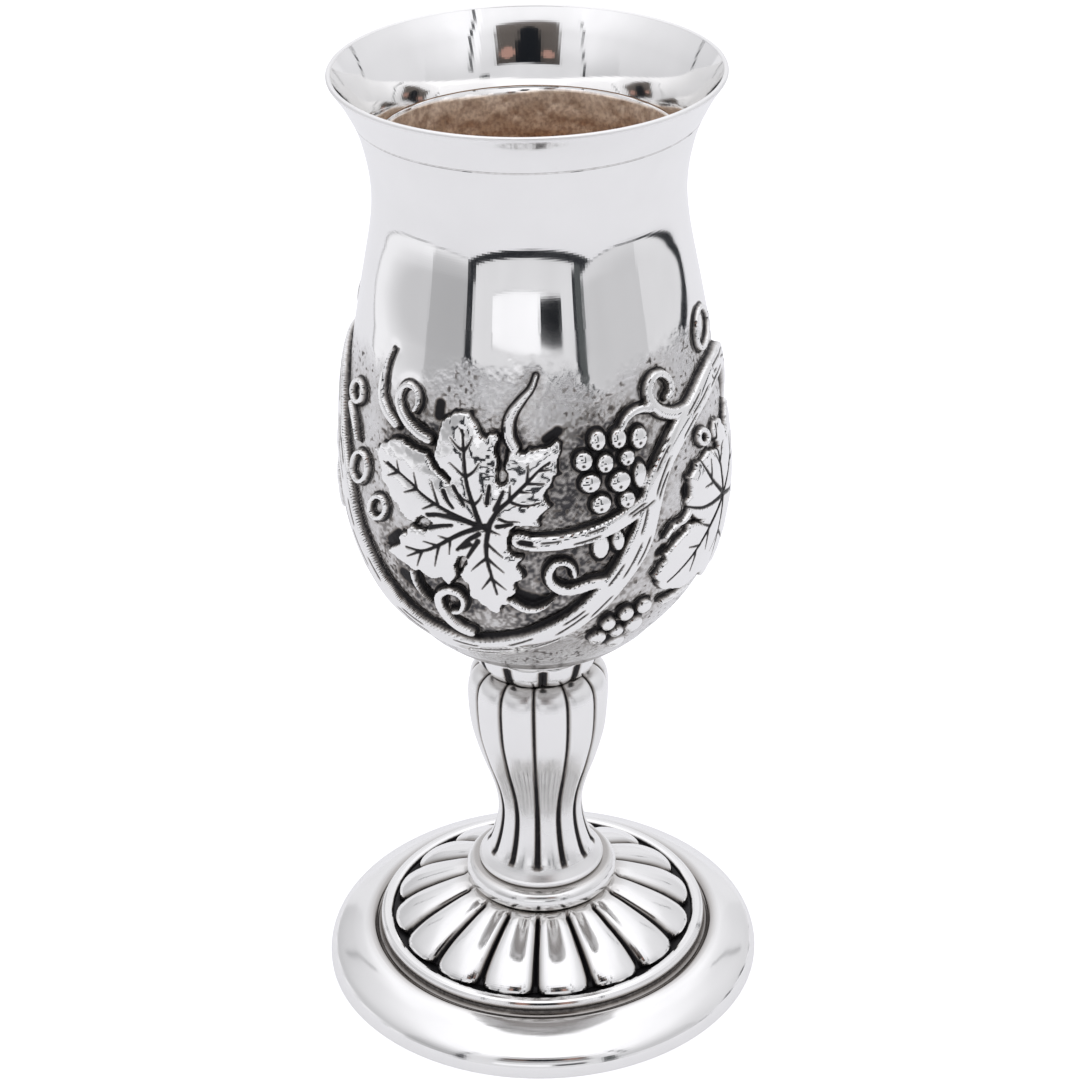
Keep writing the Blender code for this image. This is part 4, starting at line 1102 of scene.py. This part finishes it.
def make_stem():
    """The stem: twelve lobes over a plain spreading base."""
    lobed = even(smooth_line(STEM_STATIONS * MM, 10), 100)
    base = np.array([(9.2, 17.4), (9.28, 17.15), (9.2, 16.9), (9.05, STEM_END / MM)]) * MM
    cap = [(NEAR_AXIS, STEM_TOP), (7.7 * MM, STEM_TOP)]
    ends = smooth((lobed[:, 1] - 19.1 * MM) / (0.7 * MM))
    depth = STEM_GROOVE * lobed[:, 0] / (10.3 * MM) * ends
    dark = 0.82 * smooth((lobed[:, 1] - 18.9 * MM) / (0.3 * MM))
    groove = np.interp(lobed[:, 1], np.array([19, 27, 40]) * MM, np.array([1.10, 0.88, 0.62]) * MM)[:, None]
    stretches = [cap, lobed, base, [(NEAR_AXIS, STEM_END)]]
    azimuth, radius, height, oxide, tarnish_and_shade = fluted(stretches, len(cap), STEM_COLUMNS, STEM_LOBES, STEM_PHASE,
                                                  depth, dark, groove)
    # Painted shade at the stem's top under the collar and at its base over the ring
    tarnish_and_shade = np.maximum(tarnish_and_shade, 0.25 * smooth((height - 49.7 * MM) / (0.7 * MM)))
    tarnish_and_shade = np.maximum(tarnish_and_shade, 0.3 * smooth((17.15 * MM - height) / (0.3 * MM)))
    satin = 0.28 * bell((height - 27 * MM) / (7 * MM)) + 0.4 * smooth((height - 46.5 * MM) / (2 * MM))
    satin = satin + 0.4 * smooth((19.5 * MM - height) / MM)
    return lathe("stem_lobes", azimuth, radius, height, {"oxide": oxide, "tarnish_and_shade": tarnish_and_shade, "satin": satin})


stem = make_stem()

# %% Collar
COLLAR_LOBES = 11
COLLAR_PHASE = math.radians(4.2)
COLLAR_GROOVE = 0.75 * MM
COLLAR_MARK = 1.35 * MM
COLLAR_COLUMNS = 220
COLLAR_TOP = 54.6 * MM
COLLAR_END = 50.6 * MM
COLLAR_STATIONS = np.array([(8.9, 54.55), (9.3, 54.25), (9.32, 53.7), (9.15, 52.9), (8.9, 52.1), (8.5, 51.35),
                            (7.95, 50.8), (7.3, 50.6)])


def make_collar():
    """The collar: eleven short lobes that round under."""
    lobed = even(smooth_line(COLLAR_STATIONS * MM, 8), 30)
    share = np.linspace(0, 1, len(lobed))
    depth = COLLAR_GROOVE * (0.35 + 0.65 * smooth(share / 0.5))
    dark = smooth((share - 0.10) / 0.08) * smooth((0.88 - share) / 0.12)
    cap = [(NEAR_AXIS, COLLAR_TOP), (8.6 * MM, COLLAR_TOP)]
    stretches = [cap, lobed, [(NEAR_AXIS, COLLAR_END)]]
    azimuth, radius, height, oxide, tarnish_and_shade = fluted(stretches, len(cap), COLLAR_COLUMNS, COLLAR_LOBES,
                                                  COLLAR_PHASE, depth, dark, COLLAR_MARK)
    # Painted shade at the collar's lower end, where it sits on the stem
    tarnish_and_shade = np.maximum(tarnish_and_shade, 0.3 * smooth((51.3 * MM - height) / (0.5 * MM)))
    return lathe("collar_lobes", azimuth, radius, height, {"oxide": oxide, "tarnish_and_shade": tarnish_and_shade})


collar = make_collar()

# %% [markdown]
# ## Materials
#
# Polished silver with blackened hollows, and painted shade where pieces meet. One shared group turns the
# masks into colour, roughness, metal and normal; each piece has its own material with its own wear.

# %% Node helpers
def add_node(tree, kind, place, **settings):
    """A node of this kind with its settings; `values` holds the numbers of its named sockets."""
    node = tree.nodes.new(kind)
    node.location = (place[0] * 190, place[1] * 190)
    for key, value in settings.items():
        if key == "values":
            for name, number in value.items():
                node.inputs[name].default_value = number
        else:
            setattr(node, key, value)
    return node


def maths(tree, place, operation, *terms):
    """A Math node whose terms are numbers or sockets; gives its output socket."""
    node = add_node(tree, "ShaderNodeMath", place, operation=operation)
    for socket, value in zip(node.inputs, terms):
        if isinstance(value, (int, float)):
            socket.default_value = value
        else:
            tree.links.new(value, socket)
    return node.outputs[0]


def spread(tree, place, value, low, high, out_low=0.0, out_high=1.0):
    """A Map Range node, clamped: low..high becomes out_low..out_high."""
    node = add_node(tree, "ShaderNodeMapRange", place, values={"From Min": low, "From Max": high,
                                                               "To Min": out_low, "To Max": out_high})
    tree.links.new(value, node.inputs["Value"])
    return node.outputs["Result"]


def noise(tree, place, coordinates, scale, detail=3.0, roughness=0.5):
    """A noise texture on these coordinates; gives its value."""
    node = add_node(tree, "ShaderNodeTexNoise", place, values={"Scale": scale, "Detail": detail,
                                                               "Roughness": roughness})
    tree.links.new(coordinates, node.inputs["Vector"])
    return node.outputs["Fac"]


def mix_colour(tree, place, share, first, second):
    """A colour mix by a share; each colour is a socket or four numbers."""
    node = add_node(tree, "ShaderNodeMix", place, data_type="RGBA")
    tree.links.new(share, node.inputs["Factor"])
    for socket, value in ((node.inputs[6], first), (node.inputs[7], second)):
        if isinstance(value, tuple):
            socket.default_value = value
        else:
            tree.links.new(value, socket)
    return node.outputs[2]


# %% The aged silver group
BRIGHT_SILVER = (0.955, 0.95, 0.94, 1)
SOFT_SILVER = (0.90, 0.895, 0.885, 1)
MATT_SILVER = (0.66, 0.655, 0.66, 1)
LINING_DARK = (0.66, 0.47, 0.34, 1)
LINING_LIGHT = (1.0, 0.80, 0.61, 1)
THIN_TARNISH_AND_SHADE = (0.40, 0.372, 0.345, 1)
THICK_TARNISH_AND_SHADE = (0.050, 0.049, 0.054, 1)
BROWN_FRINGE = (0.24, 0.21, 0.185, 1)
OXIDE_BLACK = (0.016, 0.015, 0.017, 1)


def aged_silver_group():
    """Masks in; colour, roughness, metal and normal out."""
    tree = bpy.data.node_groups.new("Aged silver", "ShaderNodeTree")
    for label, kind, value in (("Coordinates", "NodeSocketVector", None), ("Oxide", "NodeSocketFloat", 0.0),
                               ("Tarnish_and_shade", "NodeSocketFloat", 0.0), ("Matted", "NodeSocketFloat", 0.0),
                               ("Lining", "NodeSocketFloat", 0.0), ("Satin", "NodeSocketFloat", 0.0),
                               ("Polish", "NodeSocketFloat", 0.08), ("Wear", "NodeSocketFloat", 0.5)):
        socket = tree.interface.new_socket(label, in_out="INPUT", socket_type=kind)
        if value is not None:
            socket.default_value = value
    for label, kind in (("Colour", "NodeSocketColor"), ("Roughness", "NodeSocketFloat"),
                        ("Metal", "NodeSocketFloat"), ("Normal", "NodeSocketVector")):
        tree.interface.new_socket(label, in_out="OUTPUT", socket_type=kind)
    given = add_node(tree, "NodeGroupInput", (-8, 0))
    result = add_node(tree, "NodeGroupOutput", (6, 0))
    place = given.outputs["Coordinates"]

    broad = noise(tree, (-6, 3), place, 140, 3)
    grain = noise(tree, (-6, 2), place, 1700, 3)
    fine = noise(tree, (-6, 1), place, 5200, 2)

    # Oxide: the mask broken at its edge by grain, with a brown fringe where it is thin
    torn = maths(tree, (-4, 3), "MULTIPLY_ADD", grain, 0.34, -0.17)
    edge = maths(tree, (-3, 3), "ADD", given.outputs["Oxide"], torn)
    deep = spread(tree, (-2, 3), edge, 0.42, 0.80)
    fringe = spread(tree, (-2, 2), edge, 0.16, 0.5)

    # Colour: clean silver, then each finish laid over the last by its mask
    silver = mix_colour(tree, (-2, 5), broad, BRIGHT_SILVER, SOFT_SILVER)
    matted = maths(tree, (-3, 6), "MULTIPLY", given.outputs["Matted"], 0.5)
    dull = mix_colour(tree, (-2, 6), matted, silver, MATT_SILVER)
    crumb = mix_colour(tree, (-2, 9), spread(tree, (-3, 9), grain, 0.36, 0.62), LINING_DARK, LINING_LIGHT)
    lined = mix_colour(tree, (-1, 5), given.outputs["Lining"], dull, crumb)
    # One mask for thin and thick darkening: tarnish on the matted ground, and painted shade where pieces
    # meet, on the foot's lobe ends and high in the lining
    thin_tarnish_and_shade = spread(tree, (-2, 8), given.outputs["Tarnish_and_shade"], 0.0, 0.5, 0.0, 0.85)
    thin = mix_colour(tree, (-1, 7), thin_tarnish_and_shade, lined, THIN_TARNISH_AND_SHADE)
    thick_tarnish_and_shade = spread(tree, (-1, 8), given.outputs["Tarnish_and_shade"], 0.3, 1.0, 0.0, 0.95)
    thick = mix_colour(tree, (0, 6), thick_tarnish_and_shade, thin, THICK_TARNISH_AND_SHADE)
    brown = mix_colour(tree, (0, 5), maths(tree, (-1, 4), "MULTIPLY", fringe, 0.7), thick, BROWN_FRINGE)
    colour = mix_colour(tree, (1, 5), deep, brown, OXIDE_BLACK)

    # Roughness: the polish, and what wear and each finish add to it
    rough = given.outputs["Polish"]
    worn = maths(tree, (-3, 0), "MULTIPLY", spread(tree, (-4, 0), broad, 0.35, 0.75), given.outputs["Wear"])
    for step, (mask, gain) in enumerate(((worn, 0.10), (given.outputs["Matted"], 0.20),
                                         (given.outputs["Lining"], 0.48), (given.outputs["Satin"], 0.35),
                                         (deep, 0.30))):
        rough = maths(tree, (step - 2, 0), "MULTIPLY_ADD", mask, gain, rough)
    metal = spread(tree, (1, -1), deep, 0.0, 1.0, 1.0, 0.6)

    # Relief too fine for the mesh: grain on matted ground, hammering on the lining, a trace of wear elsewhere
    hammer = add_node(tree, "ShaderNodeTexVoronoi", (-6, -2), feature="SMOOTH_F1", values={"Scale": 420})
    tree.links.new(place, hammer.inputs["Vector"])
    struck = maths(tree, (-4, -2), "MULTIPLY", hammer.outputs["Distance"], given.outputs["Lining"])
    matt_grain = maths(tree, (-4, -3), "MULTIPLY", grain, given.outputs["Matted"])
    wear = maths(tree, (-5, -4), "MULTIPLY", given.outputs["Wear"], 0.004)
    trace = maths(tree, (-4, -4), "MULTIPLY", fine, wear)
    grained = maths(tree, (-3, -3), "MULTIPLY_ADD", matt_grain, 0.35, trace)
    total = maths(tree, (-2, -2), "MULTIPLY_ADD", struck, 3.0, grained)
    bump = add_node(tree, "ShaderNodeBump", (0, -2), values={"Strength": 1.0, "Distance": 0.00012})
    tree.links.new(total, bump.inputs["Height"])

    for label, socket in (("Colour", colour), ("Roughness", rough), ("Metal", metal),
                          ("Normal", bump.outputs["Normal"])):
        tree.links.new(socket, result.inputs[label])
    return tree


AGED_SILVER = aged_silver_group()


# %% One material for each piece
def silver_material(name, polish, wear):
    """Silver for one piece, from its masks."""
    material = bpy.data.materials.new(name)
    material.use_nodes = True
    tree = material.node_tree
    shader = tree.nodes["Principled BSDF"]
    shader.location = (600, 0)
    tree.nodes["Material Output"].location = (900, 0)
    group = add_node(tree, "ShaderNodeGroup", (1, 0), node_tree=AGED_SILVER)
    group.inputs["Polish"].default_value = polish
    group.inputs["Wear"].default_value = wear
    place = add_node(tree, "ShaderNodeTexCoord", (-2, 2))
    tree.links.new(place.outputs["Object"], group.inputs["Coordinates"])
    for row, label in enumerate(("oxide", "tarnish_and_shade", "matted", "lining", "satin")):
        mask = add_node(tree, "ShaderNodeAttribute", (-2, -row), attribute_name=label)
        tree.links.new(mask.outputs["Fac"], group.inputs[label.capitalize()])
    for label, socket in (("Colour", "Base Color"), ("Roughness", "Roughness"), ("Metal", "Metallic"),
                          ("Normal", "Normal")):
        tree.links.new(group.outputs[label], shader.inputs[socket])
    return material


# Polish and wear of each node's silver
FINISHES = {"bowl": (0.05, 0.35), "collar": (0.14, 0.5), "stem": (0.16, 0.4), "knop_ring": (0.14, 0.4),
            "foot": (0.10, 0.5)}
MATERIALS = {node: silver_material(PIECE_SLOTS[node], *finish) for node, finish in FINISHES.items()}
PIECES = {"bowl": [wall] + plates, "collar": [collar], "stem": [stem], "knop_ring": [ring], "foot": [foot]}
for node, pieces in PIECES.items():
    for piece in pieces:
        piece.data.materials.append(MATERIALS[node])
        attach(piece, "root")
        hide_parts(node)
    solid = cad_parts[node]
    if solid.data.materials:
        solid.data.materials[0] = MATERIALS[node]
    else:
        solid.data.materials.append(MATERIALS[node])

# %% [markdown]
# ## The white tent
#
# A pale floor, walls, a back and a bright ceiling. The front is open: a light grey frame with dark edges and
# a white panel, which the polished silver reflects.

# %% Tent
TENT_BACK = 0.62
TENT_TOP = 0.95
LEFT_WALL = -0.36
RIGHT_WALL = 0.38
FRONT_PLANE = -0.62
TENT_HALF = 0.6
COOL = (0.965, 0.965, 1.0)


def glow_material(name, stops, axis="Z", reach=(0.0, 1.0), tint=COOL):
    """A shining sheet whose level runs through stops of (share, level) along one axis, and a slight cloud."""
    material = bpy.data.materials.new(name)
    material.use_nodes = True
    tree = material.node_tree
    tree.nodes.clear()
    place = add_node(tree, "ShaderNodeTexCoord", (-6, 0))
    parts = add_node(tree, "ShaderNodeSeparateXYZ", (-5, 0))
    tree.links.new(place.outputs["Object"], parts.inputs[0])
    share = spread(tree, (-4, 0), parts.outputs[axis], *reach)
    ramp = add_node(tree, "ShaderNodeValToRGB", (-3, 0))
    while len(ramp.color_ramp.elements) < len(stops):
        ramp.color_ramp.elements.new(0.5)
    for element, (position, level) in zip(ramp.color_ramp.elements, stops):
        element.position = position
        element.color = tuple(level / 2 * part for part in tint) + (1,)
    tree.links.new(share, ramp.inputs["Fac"])
    cloudy = noise(tree, (-4, -2), place.outputs["Object"], 5.0, 2)
    cloud = spread(tree, (-3, -2), cloudy, 0.3, 0.7, 1.94, 2.06)
    shine = add_node(tree, "ShaderNodeEmission", (-1, 0))
    tree.links.new(ramp.outputs["Color"], shine.inputs["Color"])
    tree.links.new(cloud, shine.inputs["Strength"])
    output = add_node(tree, "ShaderNodeOutputMaterial", (0, 0))
    tree.links.new(shine.outputs[0], output.inputs["Surface"])
    return material


def sheet(name, corners, material):
    """A flat sheet with any number of corners. Only the floor is seen directly, the rest in the silver."""
    mesh = bpy.data.meshes.new(name)
    mesh.from_pydata([tuple(c) for c in corners], [], [tuple(range(len(corners)))])
    mesh.materials.append(material)
    made = bpy.data.objects.new(name, mesh)
    bpy.context.scene.collection.objects.link(made)
    made.visible_camera = name == "floor"
    return made


def upright(name, x0, x1, z0, z1, y, material):
    """A sheet square to the view, facing the cup from the front."""
    return sheet(name, [(x0, y, z0), (x1, y, z0), (x1, y, z1), (x0, y, z1)], material)


def disc(name, x, z, wide, high, y, material):
    """An upright sheet with an elliptic outline."""
    turn = math.tau * np.arange(32) / 32
    return sheet(name, [(x + wide * math.cos(t), y, z + high * math.sin(t)) for t in turn], material)


def floor_material():
    """Pale paper: the view sees it white, the silver sees it a little greyer, and it takes soft shadow."""
    material = bpy.data.materials.new("floor_paper")
    material.use_nodes = True
    tree = material.node_tree
    shader = tree.nodes["Principled BSDF"]
    place = add_node(tree, "ShaderNodeTexCoord", (-4, 0))
    cloud = noise(tree, (-3, 0), place.outputs["Object"], 6.0, 2)
    colour = mix_colour(tree, (-2, 0), cloud, (0.36, 0.36, 0.37, 1), (0.40, 0.40, 0.41, 1))
    tree.links.new(colour, shader.inputs["Base Color"])
    shader.inputs["Roughness"].default_value = 0.9
    shader.inputs["Emission Color"].default_value = COOL + (1,)
    path = add_node(tree, "ShaderNodeLightPath", (-3, -2))
    strength = spread(tree, (-2, -2), path.outputs["Is Camera Ray"], 0, 1, 0.50, 0.95)
    tree.links.new(strength, shader.inputs["Emission Strength"])
    return material


# Levels from the floor up to the tent's top: dimmer low down, as the floor shades the walls
UPPER_STOPS = [(0.6, 1.08), (1.0, 1.15)]
WALL_STOPS = {
    "tent_left": [(0.0, 0.25), (0.006, 0.97), (0.03, 0.92), (0.06, 0.62), (0.12, 0.62), (0.38, 0.84)],
    "tent_left_front": [(0.0, 0.25), (0.006, 0.90), (0.03, 0.60), (0.06, 0.46), (0.12, 0.46), (0.38, 0.84)],
    "tent_right": [(0.0, 0.85), (0.024, 0.80), (0.05, 0.75), (0.12, 0.75), (0.38, 0.86)],
    "tent_right_front": [(0.0, 0.74), (0.024, 0.70), (0.05, 0.62), (0.12, 0.62), (0.38, 0.86)]}
WALL_GLOW = {name: glow_material(name, stops + UPPER_STOPS, reach=(0.0, TENT_TOP))
             for name, stops in WALL_STOPS.items()}
BACK_GLOW = glow_material("tent_back", [(0.0, 0.82), (1.0, 1.0)], reach=(0.0, TENT_TOP))
TOP_GLOW = glow_material("tent_top", [(0.0, 1.25), (1.0, 1.25)], axis="Y")
FRAME_GLOW = glow_material("front_frame", [(0.0, 0.72), (0.3, 0.78), (0.5, 0.76), (0.75, 1.0), (1.0, 1.15)],
                           reach=(-0.4, 1.3))
PANEL_GLOW = glow_material("front_panel", [(0.0, 1.05), (1.0, 1.05)])
RULE_GLOW = glow_material("panel_edge", [(0.0, 0.45), (1.0, 0.45)])
DARK_GLOW = glow_material("tent_edge", [(0.0, 0.03), (1.0, 0.03)], tint=(0.8, 0.85, 1.0))
SLATE_GLOW = glow_material("seam_inside", [(0.0, 0.10), (1.0, 0.10)], tint=(0.9, 0.97, 1.0))
OPENING_GLOW = glow_material("opening", [(0.0, 0.07), (0.5, 0.13), (1.0, 0.17)], reach=(0.4, 1.0),
                             tint=(1.0, 0.88, 0.82))
BLACK_GLOW = glow_material("opening_dark", [(0.0, 0.012), (1.0, 0.02)], tint=(0.7, 0.8, 1.0))
WARM_GLOW = glow_material("opening_warm", [(0.0, 0.42), (1.0, 0.42)], tint=(1.0, 0.6, 0.5))

FLOOR_FRONT = [(-1.2, -0.47), (-0.36, -0.405), (-0.2, -0.365), (-0.09, -0.342), (0, -0.335), (0.09, -0.342),
               (0.2, -0.365), (0.36, -0.405), (1.2, -0.47)]
sheet("floor", [(x, y, 0) for x, y in FLOOR_FRONT] + [(1.2, 1.6, 0), (-1.2, 1.6, 0)], floor_material())


def side_sheet(name, x, places, material):
    """A sheet square to the x axis from its corners (y, z)."""
    return sheet(name, [(x, y, z) for y, z in places], material)


def wall_sheet(name, x, y0, y1, material):
    """A stretch of a side wall from the floor to the tent's top."""
    return side_sheet(name, x, [(y0, 0), (y1, 0), (y1, TENT_TOP), (y0, TENT_TOP)], material)


# Each side wall is darker in front of these places
LEFT_TURN = -0.135
RIGHT_TURN = -0.09
wall_sheet("wall_left", LEFT_WALL, LEFT_TURN, TENT_BACK, WALL_GLOW["tent_left"])
wall_sheet("wall_left_front", LEFT_WALL, -0.39, LEFT_TURN, WALL_GLOW["tent_left_front"])
wall_sheet("wall_right", RIGHT_WALL, RIGHT_TURN, TENT_BACK, WALL_GLOW["tent_right"])
wall_sheet("wall_right_front", RIGHT_WALL, -0.56, RIGHT_TURN, WALL_GLOW["tent_right_front"])
upright("back", -TENT_HALF, TENT_HALF, 0, TENT_TOP, TENT_BACK, BACK_GLOW)
sheet("ceiling", [(-TENT_HALF, FRONT_PLANE, TENT_TOP + 0.25), (TENT_HALF, FRONT_PLANE, TENT_TOP + 0.25),
                  (TENT_HALF, TENT_BACK, TENT_TOP), (-TENT_HALF, TENT_BACK, TENT_TOP)], TOP_GLOW)
upright("front_frame", -1.4, 1.4, -0.4, 1.3, FRONT_PLANE - 0.02, FRAME_GLOW)
FLOOR_EDGE = [(-0.9, -0.56), (-0.36, -0.51), (0, -0.455), (0.30, -0.49), (0.37, -0.48), (0.37, -0.30),
              (-0.9, -0.30)]
sheet("floor_edge", [(x, y, -0.001) for x, y in FLOOR_EDGE], DARK_GLOW)


def front_sheet(name, places, lift, material):
    """A sheet on the front plane from its corners (x, z), lifted a little towards the cup."""
    return sheet(name, [(x, FRONT_PLANE + lift, z) for x, z in places], material)


front_sheet("seam_left", [(-0.63, -0.05), (-0.45, -0.05), (-0.49, 0.03), (-0.49, 0.25), (-0.545, 0.36),
                          (-0.545, 1.0), (-0.63, 1.0)], 0, DARK_GLOW)
front_sheet("seam_right", [(0.345, -0.05), (0.44, -0.05), (0.44, 0.3), (0.345, 0.3)], 0, SLATE_GLOW)
front_sheet("seam_right_dark", [(0.425, -0.05), (0.47, -0.05), (0.47, 0.3), (0.425, 0.3)], 0.001, DARK_GLOW)
front_sheet("seam_right_rule", [(0.315, -0.05), (0.350, 0.02), (0.350, 0.3), (0.333, 0.3)], 0.001, DARK_GLOW)
side_sheet("seam_right_high", RIGHT_WALL - 0.001,
           [(-0.465, 0.3), (-0.430, 0.3), (-0.430, 0.92), (-0.465, 0.92)], DARK_GLOW)
side_sheet("foot_right", RIGHT_WALL - 0.001,
           [(-0.56, 0), (0.62, 0), (0.62, 0.002), (0.35, 0.004), (0.25, 0.013), (0.16, 0.021), (0.08, 0.017),
            (-0.02, 0.008), (-0.2, 0.003), (-0.56, 0.0015)], DARK_GLOW)
for name, x in (("corner_left", LEFT_WALL + 0.001), ("corner_right", RIGHT_WALL - 0.001)):
    side_sheet(name, x, [(0.330, 0.2), (0.343, 0.2), (0.343, 0.42), (0.330, 0.42)], DARK_GLOW)
upright("panel_edge", -0.297, 0.222, 0.0645, 0.165, FRONT_PLANE - 0.002, RULE_GLOW)
upright("panel", -0.290, 0.215, 0.0670, 0.162, FRONT_PLANE, PANEL_GLOW)
front_sheet("panel_shade", [(0.06, 0.0775), (0.14, 0.071), (0.213, 0.069), (0.213, 0.15), (0.03, 0.15)],
            0.001, BLACK_GLOW)
upright("opening", -0.28, 0.265, 0.38, 0.86, FRONT_PLANE, OPENING_GLOW)
disc("opening_round", -0.015, 0.66, 0.085, 0.10, FRONT_PLANE + 0.002, BLACK_GLOW)
upright("opening_block", -0.11, 0.10, 0.38, 0.62, FRONT_PLANE + 0.002, BLACK_GLOW)
disc("opening_patch_left", -0.17, 0.50, 0.055, 0.05, FRONT_PLANE + 0.003, WARM_GLOW)
disc("opening_patch_right", 0.17, 0.52, 0.06, 0.07, FRONT_PLANE + 0.003, WARM_GLOW)

world = bpy.data.worlds.new("surround")
world.use_nodes = True
world.node_tree.nodes["Background"].inputs["Color"].default_value = COOL + (1,)
world.node_tree.nodes["Background"].inputs["Strength"].default_value = 0.85
bpy.context.scene.world = world
bpy.context.scene.view_settings.view_transform = "Standard"
